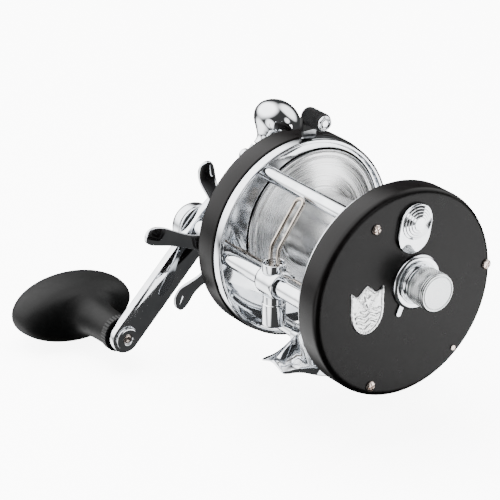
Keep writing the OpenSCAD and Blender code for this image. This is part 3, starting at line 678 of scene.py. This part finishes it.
def slab(outline, x0, x1, edge):
    """Plate from an outline of [y, z] points: the outline drawn in by edge at both faces, full
    between. Each point moves in along the mean of its two sides' normals."""
    outline = np.asarray(outline, float)
    ahead, behind = np.roll(outline, -1, 0) - outline, outline - np.roll(outline, 1, 0)
    normals = [np.column_stack([d[:, 1], -d[:, 0]]) / np.linalg.norm(d, axis=1)[:, None]
               for d in (ahead, behind)]
    normal = normals[0] + normals[1]
    normal /= np.linalg.norm(normal, axis=1)[:, None]
    turning = np.sum(outline[:, 0] * np.roll(outline[:, 1], -1) - np.roll(outline[:, 0], -1)
                     * outline[:, 1])
    normal *= np.sign(turning)
    inside = outline - edge * normal
    half = outline - 0.3 * edge * normal
    rows = ((x0, inside), (x0 + 0.3 * edge, half), (x0 + edge, outline), (x1 - edge, outline),
            (x1 - 0.3 * edge, half), (x1, inside))
    return skin([np.column_stack([np.full(len(p), x), p]) for x, p in rows])


shoe_half = 1.9
shoe_outline = [worm_at + [3.6, 0.6 - shoe_half], guide_at + [0, -shoe_half]]
shoe_outline += [guide_at + shoe_half * np.array([np.cos(a), np.sin(a)])
                 for a in np.linspace(-np.pi / 2 + 0.2, np.pi / 2 - 0.2, 12)]
shoe_outline += [guide_at + [0, shoe_half], worm_at + [3.6, 0.6 + shoe_half]]
shoe = slab(shoe_outline, carriage_x - 2.5, carriage_x + 2.5, 0.3)
piece("carriage_casting", together(barrel, cup_shape, saddle, shoe), "carriage", chrome,
      ["levelwind_carriage"])
pawl_skirt = skin(upright(rounded([
    [cap_bottom, 0.1], [cap_bottom, 3.1], [cap_bottom + 0.7, 3.8], [cap_bottom + 7.6, 3.8],
    [cap_bottom + 7.9, 3.5], [cap_bottom + 10.6, 3.5], [cap_bottom + 10.6, 2.4],
    [cap_bottom + 4.1, 2.4],
    [cap_bottom + 4.1, 0.1]], 0.3), carriage_at))
piece("pawl_cap_turned", pawl_skirt, "carriage", chrome, ["pawl_cap"])

# %% [markdown]
# The line guide is one stainless wire bent to a hairpin. Both legs stand in the cup, lean back over
# the spool and close in a round loop. A bent wire is a circle swept along a path, and each ring of
# the sweep is turned by the same small rotation as the path, so that the wire never twists.


# %% Line guide
def swept(path, radius, sides=14):
    """Circles of one radius across a path: the first frame is any pair of normals, and each next
    frame is the last one with its part along the new direction taken out."""
    path = np.asarray(path, float)
    along = np.gradient(path, axis=0)
    along /= np.linalg.norm(along, axis=1)[:, None]
    normal = np.cross(along[0], [1.0, 0.3, 0.2])
    rings, angles = [], turn_angles(sides)[:, None]
    for place, direction in zip(path, along):
        normal = normal - direction * np.dot(normal, direction)
        normal /= np.linalg.norm(normal)
        other = np.cross(direction, normal)
        rings.append(place + radius * (np.cos(angles) * normal + np.sin(angles) * other))
    return skin(rings)


wire_r, leg_gap = 0.7, 1.85
foot = np.array([worm_at[0], worm_z + 4.0])
bend = np.array([worm_at[0], worm_z + 11.2])
loop_at = np.array([-19.6, plates_at[1] + 24.2])
lean = (loop_at - bend) / np.linalg.norm(loop_at - bend)
leg = rounded([foot, bend, loop_at], 2.2, 10)
leg = np.vstack([leg[:-1], loop_at])
turn = np.linspace(0, np.pi, 25)[1:-1]
loop = np.column_stack([-leg_gap * np.cos(turn), loop_at[0] + leg_gap * np.sin(turn) * lean[0],
                        loop_at[1] + leg_gap * np.sin(turn) * lean[1]])
wire_path = np.vstack([np.column_stack([np.full(len(leg), -leg_gap), leg]), loop,
                       np.column_stack([np.full(len(leg), leg_gap), leg[::-1]])])
piece("hairpin_line_guide", swept(wire_path + [carriage_x, 0, 0], wire_r), "carriage", bright_steel,
      ["line_guide_wire"], 60)

# %% [markdown]
# The foot is stamped from thick sheet and plated. It is thin and narrow at its two ends, where the
# rod's hoods grip it, and swells into a saddle that rises to the lower pillars. One grid makes its
# top: each station along the rod has a half width and a ridge height, and its section falls from
# the ridge in a hollow curve.


# %% Foot
def smooth_rows(rows, steps):
    """Catmull-Rom curve through the rows: between rows 1 and 2 it is half of 2a + (c - z)t + (2z
    - 5a + 4c - d)t^2 + (3a - z - 3c + d)t^3."""
    rows = np.asarray(rows, float)
    ends = np.vstack([2 * rows[0] - rows[1], rows, 2 * rows[-1] - rows[-2]])
    t = np.linspace(0, 1, steps, endpoint=False)[:, None]
    spans = [0.5 * (2 * a + (c - z) * t + (2 * z - 5 * a + 4 * c - d) * t ** 2
                    + (3 * a - z - 3 * c + d) * t ** 3)
             for z, a, c, d in zip(ends[:-3], ends[1:-2], ends[2:-1], ends[3:])]
    return np.vstack([*spans, rows[-1:]])


foot_low, foot_high = box_mm("reel_foot")
seat_r = 10.0
edge_z = plates_at[1] - 30.9
# Each row: place along the rod, half width of the sheet, height of the ridge above its edge
foot_rows = [
    [foot_low[1] + hair, 5.0, 2.6], [foot_low[1] + 0.5, 5.7, 2.9], [foot_low[1] + 2, 6.1, 3.6],
    [foot_low[1] + 4.5, 6.4, 5.3], [foot_low[1] + 7.2, 7.0, 7.3], [foot_low[1] + 9.7, 7.8, 9.2],
    [-14.5, 8.5, 10.3], [-11, 9.0, 10.2], [-7, 9.3, 9.0],
    [2, 9.4, 7.4], [12, 9.2, 7.4], [17, 8.6, 9.0], [20, 7.6, 7.8], [24, 6.8, 4.8],
    [foot_high[1] - 4.5, 6.3, 3.6], [foot_high[1] - 1.0, 5.9, 3.0], [foot_high[1] - hair, 5.0, 2.6],
]
stations = smooth_rows(foot_rows, 8)
across = np.linspace(-1, 1, 41)
y, half_w, ridge = stations.T[:, :, None]
hollow = (1 - np.abs(across) ** 1.15) ** 1.05
top_z = edge_z + 1.0 + (ridge - 1.0) * hollow
sheet_thick = 0.35
seat_z = np.sqrt(np.maximum(seat_r ** 2 - (half_w * across) ** 2, 0)) + hair
under_z = np.minimum(seat_z, top_z - sheet_thick)
grid_x, grid_y = np.broadcast_arrays(half_w * across, y)
top = np.stack([grid_x, grid_y, np.maximum(top_z, under_z + sheet_thick)], -1)
below = np.stack([grid_x, grid_y, under_z], -1)[:, ::-1]
foot_skin = skin(np.concatenate([top, below], 1))
saddles = [skin(turned(rounded([[-4.5, 0.1], [-4.5, 3.5], [4.5, 3.5], [4.5, 0.1]], 0.5),
                       plates_at + p)) for p in pillars[1:]]


def oval_power(wave, power):
    """Sine or cosine wave with its sign kept and its size raised to a power, which squares an
    oval."""
    return np.sign(wave) * np.abs(wave) ** power


def rib_block(below_y, above_y, z_low, z_high, thin, thick, levels=7, around=40):
    """Rib that rises from the saddle to a pillar: rings of a rounded rectangle whose Y stretch
    goes from below_y to above_y and whose half width goes from thick to thin on the way up."""
    t = np.linspace(0, 1, levels)[:, None]
    angle = turn_angles(around)
    half = thick + (thin - thick) * t ** 0.5
    middle = sum(below_y) / 2 + (sum(above_y) / 2 - sum(below_y) / 2) * t
    deep_below, deep_above = (below_y[1] - below_y[0]) / 2, (above_y[1] - above_y[0]) / 2
    deep = deep_below + (deep_above - deep_below) * t
    return skin(np.stack([
        half * oval_power(np.cos(angle), 0.45), middle + deep * oval_power(np.sin(angle), 0.45),
        np.broadcast_to(z_low + (z_high - z_low) * t, (levels, around))], -1))


rib_thin, rib_thick = 3.6, 4.6
ribs = [rib_block((-18, -8), (-15.6, -11.4), edge_z + 4.2, plates_at[1] - 24, rib_thin, rib_thick),
        rib_block((11, 22), (17, 21), edge_z + 3.6, plates_at[1] - 22, rib_thin, rib_thick)]
piece("foot_plated", together(foot_skin, *saddles, *ribs), "frame", chrome,
      ["reel_foot"], 50)

# %% [markdown]
# The handle is a flat bar with one end rounded round the knob's spindle. Past the nut it narrows to
# a neck that carries the counterweight. Its outline is drawn along its own length and turned to the
# direction that runs from the knob to the counterweight, and a slab with eased edges is made from
# it.


# %% Handle arm
arm_low, arm_high = box_mm("handle_arm")
along_arm = (drive_at - spindle_at) / np.linalg.norm(drive_at - spindle_at)
over_arm = np.array([-along_arm[1], along_arm[0]])
reach = np.linalg.norm(drive_at - spindle_at)
arm_half, neck_half = 5.25, 2.5
taper_start, taper_long = 3, 30


def on_arm(points):
    """Turns [along, across] points, measured from the knob's spindle, into Y and Z."""
    points = np.asarray(points, float)
    return spindle_at + points[:, :1] * along_arm + points[:, 1:] * over_arm


t = np.linspace(0, 1, 26)
taper_s = reach + taper_start + taper_long * t
taper_w = neck_half + (arm_half - neck_half) * (1 - t ** 1.1) ** 1.5
side = np.column_stack([taper_s, taper_w])
nose = np.linspace(np.pi / 2, 3 * np.pi / 2, 40)
arm_outline = np.vstack([
    side[::-1], np.column_stack([arm_half * np.cos(nose), arm_half * np.sin(nose)]),
    side * [1, -1]])
piece("handle_arm_plated", slab(on_arm(arm_outline), arm_low[0], arm_high[0], 0.45), "handle",
      chrome,
      ["handle_arm"])

# %% [markdown]
# The counterweight is a turned pear on the end of the arm: a thin neck that flares like a trumpet
# into a slightly flattened ball. Its axis is the arm's, so its rings are turned about that line
# instead.


# %% Counterweight
def turned_about(profile, start, direction, around=96):
    """Turns [along, radius] points about any line: start + along d + radius (cos a e + sin a f)."""
    d = np.array(direction, float) / np.linalg.norm(direction)
    e = np.cross(d, [1.0, 0, 0])
    e /= np.linalg.norm(e)
    f = np.cross(d, e)
    s, r = np.asarray(profile, float).T[:, :, None, None]
    angles = turn_angles(around)[:, None]
    return np.asarray(start) + s * d + r * (np.cos(angles) * e + np.sin(angles) * f)


arm_mid_x = (arm_low[0] + arm_high[0]) / 2
ball_reach = 44
ball_at = drive_at + ball_reach * along_arm
# Each row: place along the arm from the ball's middle, radius
pear = smooth_rows([[-10.0, 2.5], [-8.6, 2.55], [-7.2, 3.2], [-5.6, 4.9], [-3.8, 6.9], [-1.6, 8.25],
                    [0.6, 8.55], [2.8, 7.9], [5.0, 6.0], [6.5, 3.5], [7.1, 1.2], [7.18, 0.1]], 6)
weight = skin(turned_about(pear, [arm_mid_x, *ball_at], [0, *along_arm]))
piece("counterweight_turned", weight, "handle", chrome, ["counterweight"], 60)

# %% [markdown]
# A domed cap screws over the handle's nut, and a flat-headed spindle holds the knob. The spindle's
# end is peened in a small dimple at its middle, and that bare steel is warmer than the plate round
# it.

# %% Nut cap, spindle and collar
cap_x = box_mm("nut_cap")[0][0]
dome = rounded([[cap_x, 0.1], [cap_x, 4.6], [cap_x + 0.9, 6.6], [cap_x + 2.6, 7.55],
                [arm_low[0] - 0.9, 7.55],
                [arm_low[0] - 0.5, 7.1], [arm_low[0], 7.1], [arm_low[0], 5.7]], 1.4, 6)
piece("nut_cap_turned", skin(turned(dome, drive_at)), "handle", chrome,
      ["nut_cap"])
head_x = box_mm("knob_spindle")[1][0]
head = rounded([[arm_high[0], 0.1], [arm_high[0], 4.1], [head_x - 0.25, 4.1], [head_x - hair, 3.5],
                [head_x - hair, 1.9], [head_x - 0.5, 1.7], [head_x - 0.5, 0.1]], 0.22, 4)
spindle_bar = disc(-100, arm_high[0], 2.2, spindle_at)
piece("spindle_plated", together(skin(turned(head, spindle_at)), spindle_bar), "handle", chrome,
      ["knob_spindle"])
peen = rounded([[head_x - 0.8, 0.05], [head_x - 0.8, 1.62], [head_x - 0.3, 1.5],
                [head_x - 0.15, 0.9],
                [head_x - 0.35, 0.5], [head_x - 0.35, 0.05]], 0.2, 4)
piece("spindle_peened_end", skin(turned(peen, spindle_at, turn_angles(48))), "handle", screw_steel)

# %% [markdown]
# The power knob is moulded in soft-touch rubber over a sleeve. It is a paddle: a round neck on the
# spindle swells into a long egg that lies along the rod's direction, so the whole hand can close on
# it. It is a stack of ellipses along the spindle, and their half lengths and half widths follow one
# smooth curve each, so the neck runs into the head in a fillet with no seam.

# %% Power knob
knob_low, knob_high = box_mm("power_knob")
knob_mid = (knob_low + knob_high) / 2
top_x, half_wide = knob_low[0], 10.8
half_long = (knob_high[1] - knob_low[1]) / 2 - 0.05
off_y, off_z = knob_mid[1] - spindle_at[0], knob_mid[2] - spindle_at[1]
# Each row: place along the spindle, share of the way to the head's middle, half length, half width
knob_rows = [
    [-63.05, 0, 5.0, 5.0], [-63.3, 0, 5.55, 5.55], [-66, 0, 5.7, 5.7], [-72, 0, 5.85, 5.85],
    [-77, 0.05, 6.3, 6.2], [-80, 0.15, 7.6, 6.9], [-82.2, 0.4, 10.6, 7.9], [-83.6, 0.75, 14.6, 8.7],
    [-85.4, 1, 18.2, 9.5], [-88, 1, 20.7, 10.3], [-91.5, 1, half_long - 0.2, 10.75],
    [-95, 1, half_long - 0.25, half_wide], [-98.3, 1, 20.0, 10.2], [-101.3, 1, 16.8, 8.7],
    [-103.4, 1, 12.4, 6.5], [-104.6, 1, 7.2, 3.8], [top_x + 0.03, 1, 2.0, 1.1],
]
x, lead, half_a, half_b = smooth_rows(knob_rows, 6).T[:, :, None]
a = turn_angles(144)
knob_rings = np.stack(np.broadcast_arrays(
    x, spindle_at[0] + off_y * lead + half_a * np.cos(a),
    spindle_at[1] + off_z * lead + half_b * np.sin(a)), -1)
piece("power_knob_moulded", skin(knob_rings), "knob", soft_rubber, ["power_knob"], 70)
ribs_around, rib_high = 30, 0.28
a = turn_angles(ribs_around * 8)
rib = rib_high * np.abs(np.sin(ribs_around * a / 2)) ** 0.6
collar_rows = np.array([[-62.75, 5.2], [-62.85, 5.9], [-65.3, 5.9], [-65.5, 5.3]])
collar = np.stack(np.broadcast_arrays(
    collar_rows[:, :1], spindle_at[0] + (collar_rows[:, 1:] + rib) * np.cos(a),
    spindle_at[1] + (collar_rows[:, 1:] + rib) * np.sin(a)), -1)
piece("knob_collar_ribbed", skin(collar), "knob", black_anodise)

# %% [markdown]
# The star is pressed from plate and chromed. Its five arms leave the hub flat, bend away from the
# side plate and end in spoons for the fingertips. Each arm is a stack of flat ovals along its
# length. The ovals turn with the bend, so the plate keeps its thickness, and they cup towards the
# tip.

# %% Star drag
star_r, star_face, star_thick = 27.0, -46.5, 1.5
star_count, star_turned = 5, 5.3
bend_from, bend_over, bend_out = 9, 13, 6.3
# Each row: radius, half width
spoon_rows = [[3.6, 5.0], [6, 4.5], [8, 3.45], [10.5, 2.65], [13.5, 2.3], [17, 2.55], [20.5, 3.15],
              [23.5, 3.15], [25.5, 2.5], [26.6, 1.5], [star_r - hair, 0.35]]
radius, half_w = smooth_rows(spoon_rows, 6).T
t = np.clip((radius - bend_from) / bend_over, 0, 1)
bend_x = star_face - bend_out * t ** 2 * (3 - 2 * t)
slope = np.gradient(bend_x, radius)
angle = np.arctan(slope)[:, None]
a = turn_angles(40)
flat = oval_power(np.cos(a), 0.75)
thick = oval_power(np.sin(a), 0.5) * (star_thick / 2 - 0.05)
cupping = 0.75 * np.clip((radius - 14) / 9, 0, 1)[:, None] * flat ** 2
depth = thick - cupping * np.minimum(half_w / 3, 1)[:, None]
arm_x = bend_x[:, None] - star_thick / 2 + depth * np.cos(angle)
arm_out = radius[:, None] - depth * np.sin(angle)
arm_side = half_w[:, None] * flat
star_arms = []
for k in range(star_count):
    lean_k = np.radians(360 / star_count * k + star_turned)
    star_arms.append(skin(np.stack([
        arm_x, drive_at[0] + arm_side * np.cos(lean_k) - arm_out * np.sin(lean_k),
        drive_at[1] + arm_side * np.sin(lean_k) + arm_out * np.cos(lean_k)], -1)))
hub = skin(turned(rounded([[-49, 3.3], [-49, 5.2], [-48.05, 5.3], [-48.05, 8.0], [-46.45, 8.0],
                           [-46.45, 6.0],
                           [-45.6, 5.2], [-40, 5.2], [-40, 3.3]], 0.3), drive_at), closed=True)
piece("star_drag_pressed", together(*star_arms, hub), "star", chrome,
      ["star_drag"], 50)

# %% [markdown]
# The cast-control cap is knurled so that two fingertips can turn it: two sets of helical grooves
# cross and leave small pyramids. A pyramid's height is the lower of two triangle waves, one for
# each set of grooves, so one formula on a fine grid cuts them all. The thumb button carries the
# same knurl, coarser.


# %% Knurls
def knurled(x0, x1, r, at, around, rise, fine=7):
    """Cylinder of radius r from x0 to x1 with crossed grooves: the radius drops by rise where
    either of the triangle waves of around * angle + x * around / r and around * angle - x *
    around / r is low."""
    angles = turn_angles(around * fine)
    length = abs(x1 - x0)
    x = np.linspace(x0, x1, int(length / (2 * np.pi * r / around) * fine))[:, None]
    waves = [np.abs(((around * angles + s * x * around / r) / np.pi + 1) % 2 - 1) for s in (-1, 1)]
    height = np.clip(1.35 * np.minimum(*waves), 0, 1)
    ease = np.clip(np.minimum(np.abs(x - x0), np.abs(x - x1)) / 0.35, 0, 1)
    radius = r - rise + rise * height * ease
    return np.stack(np.broadcast_arrays(x, at[0] + radius * np.cos(angles),
                                        at[1] + radius * np.sin(angles)), -1)


def end_rings(profile, at, like):
    """Turned [x, r] rings with as many points as the rings they join."""
    return turned(profile, at, turn_angles(like.shape[1]))


cap_low, cap_high = box_mm("tension_cap")
cap_r = (cap_high[1] - cap_low[1]) / 2
grip = knurled(cap_low[0] + 0.45, cap_high[0] - 1.35, cap_r - 0.01, spool_at, 54, 0.26)
front = end_rings(rounded([
    [cap_high[0] - 1.3, cap_r - 0.3], [cap_high[0] - 1.15, cap_r - 0.45],
    [cap_high[0] - 0.95, cap_r - 0.05],
    [cap_high[0] - 0.35, cap_r - 0.05], [cap_high[0], cap_r - 0.4], [cap_high[0], cap_r - 0.75],
    [cap_high[0] - 0.16, cap_r - 0.9], [cap_high[0] - 0.16, cap_r - 1.0],
    [cap_high[0], cap_r - 1.15],
    [cap_high[0], 0.15]], 0.12, 3), spool_at, grip)
rear = end_rings([[cap_low[0] + 1.2, 4.75], [cap_low[0], 5.0], [cap_low[0], 5.7],
                  [cap_low[0] + 0.3, cap_r - 0.3]],
                 spool_at, grip)
piece("tension_cap_knurled", skin(np.concatenate([rear, grip, front])), "tension_knob", cap_metal,
      ["tension_cap"], 26)

button_low, button_high = box_mm("thumb_button")
button_r = (button_high[1] - button_low[1]) / 2
grip = knurled(button_low[0] + 0.5, button_high[0] - 0.4, button_r - 0.01, thumb_at, 36, 0.24)
rear = end_rings([[button_low[0], 0.1], [button_low[0], button_r - 0.55],
                  [button_low[0] + 0.35, button_r - 0.26]],
                 thumb_at, grip)
front = end_rings([[button_high[0] - 0.3, button_r - 0.26], [button_high[0], button_r - 0.5],
                   [button_high[0], 0.1]], thumb_at, grip)
step_y, step_z = 3.05, button_low[2]
sole = [[thumb_at[0] - step_y, thumb_at[1]], [thumb_at[0] - step_y, step_z + hair],
        [thumb_at[0] + step_y, step_z + hair], [thumb_at[0] + step_y, thumb_at[1]]]
sole = slab(sole, button_low[0] + 0.05, button_low[0] + 1.8, 0.2)
piece("thumb_button_knurled", together(skin(np.concatenate([rear, grip, front])), sole),
      "free_spool", black_anodise,
      ["thumb_button"], 26)
screw_low, screw_high = box_mm("thumb_button_screw")
screw_head = rounded([
    [screw_low[0], 0.1], [screw_low[0], 2.55], [screw_low[0] + 0.35, 2.5],
    [screw_high[0] - hair, 2.1],
    [screw_high[0] - 0.05, 1.7], [screw_high[0] - 0.5, 1.2], [screw_high[0] - 0.5, 0.1]], 0.2, 4)
piece("thumb_button_screw_turned", skin(turned(screw_head, thumb_at)), "free_spool", chrome,
      ["thumb_button_screw"])

# %% [markdown]
# The cap runs on a chromed collar with a wide polished flange. The flange's small tongue keeps it
# from turning.

# %% Collar under the cap
collar_profile = rounded([
    [rim_x - 1.1, 4.4], [rim_x, 4.4], [rim_x, 8.95], [rim_x + 0.75, 8.95], [rim_x + 1.45, 8.2],
    [rim_x + 1.45, 6.9], [rim_x + 1.15, 6.6], [rim_x + 1.15, 6.3], [rim_x + 2.2, 5.95],
    [rim_x + 3.15, 5.9], [rim_x + 3.15, 5.3], [rim_x + 3.5, 4.6], [rim_x + 7.5, 4.55],
    [rim_x + 7.5, 2.45], [rim_x - 1.1, 2.45]], 0.35, 5)


def stadium(a, b, width, steps=24):
    """Outline with two round ends: half circles about b and then about a, across the line
    between them."""
    a, b = np.asarray(a, float), np.asarray(b, float)
    lean = np.arctan2(*(b - a)[::-1])
    ends = []
    for end, start in ((b, -np.pi / 2), (a, np.pi / 2)):
        angle = lean + start + np.linspace(0, np.pi, steps)
        ends.append(end + width / 2 * np.column_stack([np.cos(angle), np.sin(angle)]))
    return np.vstack(ends)


tongue = slab(stadium(spool_at + [-4.6, -4.6], spool_at + [-6.6, -9.2], 1.85), rim_x, rim_x + 0.6,
              0.15)
piece("tension_collar", together(skin(turned(collar_profile, spool_at), closed=True), tongue),
      "frame", chrome,
      ["tension_flange"])

# %% [markdown]
# The bait clicker's button slides in an oblong chrome bezel. The button is turned in five low
# steps, which show as bright and dark rings, so every step has its own edge in the profile.

# %% Clicker
click_lean = np.radians(10)
click_up = np.array([np.sin(click_lean), np.cos(click_lean)])
bezel_reach, bezel_wide, bezel_high = 1.9, 12.35, 1.18
bezel = stadium(bezel_at + bezel_reach * click_up, bezel_at - bezel_reach * click_up, bezel_wide,
                40)
bezel = slab(bezel, rim_x, rim_x + bezel_high, 0.3)
piece("click_bezel_pressed", bezel, "frame", chrome, ["click_bezel"])
step_h, step_w, step_count = 0.36, 0.85, 5
base_x, base_r = rim_x + 1.25, 6.42
steps = []
for i in range(1, step_count + 1):
    outer_r = base_r - i * step_w
    steps += [[base_x + (i - 1) * step_h, outer_r], [base_x + i * step_h - 0.14, outer_r - 0.06]]
button_profile = rounded([[base_x, 0.1], *steps, [base_x + step_count * step_h - hair, 0.1]], 0.14,
                         4)
piece("click_button_stepped", skin(turned(button_profile, click_at, turn_angles(144))), "clicker",
      chrome,
      ["click_button"], 30)

# %% [markdown]
# Small fixings: pan-head screws with a cross recess, a rivet, and the slotted takedown screws that
# a thumb and a coin can undo. A screw's head is a height over a disc of points: a dome, with the
# recess taken out where a point lies within the width of either slot.


# %% Screws
def cross_head(x, r, at, rise, lean, slot=0.42, reach=0.75):
    """Dome rise * (1 - q^4) over a disc, q being the share of the radius, less a cross-shaped
    recess that is slot wide and reaches that share of the radius. The disc is closed by a skirt."""
    q = np.concatenate([[0.02], np.linspace(0.06, 1, 30)])[::-1, None]
    angles = turn_angles(120) + 0.001
    v, w = q * r * np.cos(angles - lean), q * r * np.sin(angles - lean)
    near = np.minimum(np.abs(v), np.abs(w))
    far = np.maximum(np.abs(v), np.abs(w))
    cut = np.clip((slot / 2 - near) / 0.08 + 0.5, 0, 1) * np.clip((reach * r - far) / 0.1 + 0.5, 0,
                                                                  1)
    height = rise * (1 - 0.55 * q ** 4) * np.ones_like(v) - 0.45 * cut
    top = np.stack([x + height, at[0] + q * r * np.cos(angles), at[1] + q * r * np.sin(angles)], -1)
    skirt = turned([[x - hair, r]], at, angles)
    return skin(np.concatenate([skirt, top]))


# Each cross-head screw: its place from the plate's middle and the angle its recess stands at
screw_places = [([-11.9, 24.2], 0.4), ([32, 1.8], 0.9), ([-12.6, -28], 0.2)]
screw_r, screw_rise = 1.65, 0.85
cap_screws = [cross_head(rim_x, screw_r, plates_at + p, screw_rise, lean) for p,
              lean in screw_places]
rivet = disc(rim_x - 0.01, rim_x + 0.38, 0.88, plates_at + [19.9, -23.8], 0.2)
piece("palm_screw_heads", together(*cap_screws, rivet), "frame", screw_steel,
      ["palm_plate_fasteners"], 30)
takedown_r = 31
takedown_at = [plates_at + takedown_r * np.array([np.cos(a), np.sin(a)])
               for a in np.radians([117.5, 237.5, 357.5])]
heads = [skin(turned(rounded([
    [-rim_x, 0.1], [-rim_x, 1.5], [-rim_x - 0.25, 2.15], [-rim_x - 1.9, 2.15], [-rim_x - 2.55, 1.5],
    [-rim_x - 2.55, 0.1]], 0.4), p, turn_angles(48))) for p in takedown_at]
piece("takedown_screw_heads", together(*heads), "frame", chrome,
      ["takedown_screws"])
cap_out = box_mm("bearing_cap")[0][0]
cap_rings = rounded([[boss_x, 0.1], [boss_x, 6.75], [-housing_x - 2.4, 6.75],
                     [cap_out + hair, 5.3], [cap_out + hair, 2.4], [cap_out + 0.3, 2.1],
                     [cap_out + 0.3, 0.1]], 0.4)
piece("bearing_cap_turned", skin(turned(cap_rings, spool_at)), "frame", chrome,
      ["bearing_cap"])
nut_rings = rounded([[-housing_x, 4.75], [-housing_x, 7.55], [-housing_x - 0.9, 7.55],
                     [-housing_x - 1.38, 7.0],
                     [-housing_x - 1.38, 4.75]], 0.3)
bush = rounded([[-housing_x + 3, 4.7], [-housing_x + 3, 5.9], [-housing_x, 5.9], [-housing_x, 4.7]],
               0.2)
piece("drive_bushing_turned", together(skin(turned(nut_rings, drive_at), closed=True),
                                       skin(turned(bush, drive_at), closed=True)),
      "frame", chrome, ["drive_bushing"])

# %% [markdown]
# The badge is a cast shield, polished on its raised work and left frosted between. This one carries
# a generic device: a raised border, three waves and a star above them. It is a relief, a height
# over a grid that covers the shield from its middle out to its edge.


# %% Badge
badge_x = box_mm("plate_badge")[0][0]
star_up, wave_pitch = 3.0, 1.9
badge_at = plates_at + [-14.6, -1.5]
# The right half of the shield's outline from the top down, mirrored and smoothed below
shield = np.array([[0, 8.0], [-1.5, 6.9], [-3.2, 5.4], [-4.8, 5.7], [-6.15, 6.6], [-6.1, 3.0],
                   [-6.15, -0.6],
                   [-5.5, -3.9], [-3.7, -6.6], [-1.5, -7.9], [0, -8.15]])
shield = np.vstack([shield, (shield * [-1, 1])[-2:0:-1]])
shield = smooth_rows(np.vstack([shield, shield[:1]]), 10)[:-1]
share = np.linspace(0.015, 1, 46)[:, None, None]
face = share * shield
v, w = face[..., 0], face[..., 1]
ray = np.abs(((np.arctan2(w - star_up, v) / (2 * np.pi) * 5 + 0.25) % 1) - 0.5) * 2
star_mark = np.clip((1.1 + 1.2 * ray ** 1.5 - np.hypot(v, w - star_up)) / 0.35, 0, 1)
waves = np.clip(np.cos(2 * np.pi * (w - 0.55 * np.sin(1.35 * v)) / wave_pitch) * 1.6, 0, 1) * (
    np.clip((0.3 - w) / 0.3, 0, 1))
field = np.clip((0.8 - share[..., 0]) / 0.03, 0, 1)
border = np.clip((share[..., 0] - 0.86) / 0.03, 0, 1) * np.clip((0.99 - share[..., 0]) / 0.03, 0, 1)
scallops = 0.5 + 0.5 * np.cos(np.arange(shield.shape[0]) * 2 * np.pi / 5)
pebbles = 0.3 * np.abs(np.sin(5.2 * v + 1.3 * np.sin(4 * w))) * np.abs(np.sin(5.2 * w + 1.3
                                                                              * np.sin(4 * v)))
relief = 0.2 + 0.46 * np.maximum.reduce([
    border * (0.65 + 0.35 * scallops), field * np.maximum(star_mark, 0.8 * waves), pebbles])
badge_top = np.stack([badge_x + relief * np.clip((1.0 - share[..., 0]) / 0.01 + 0.5, 0.4, 1),
                      badge_at[0] + v, badge_at[1] + w], -1)
badge_foot = np.concatenate([np.full((1, len(shield), 1), badge_x - 0.01),
                             (shield + badge_at)[None]], -1)
piece("badge_relief", skin(np.concatenate([badge_foot, badge_top[::-1]])), "frame", frosted_silver,
      ["plate_badge"], 45)
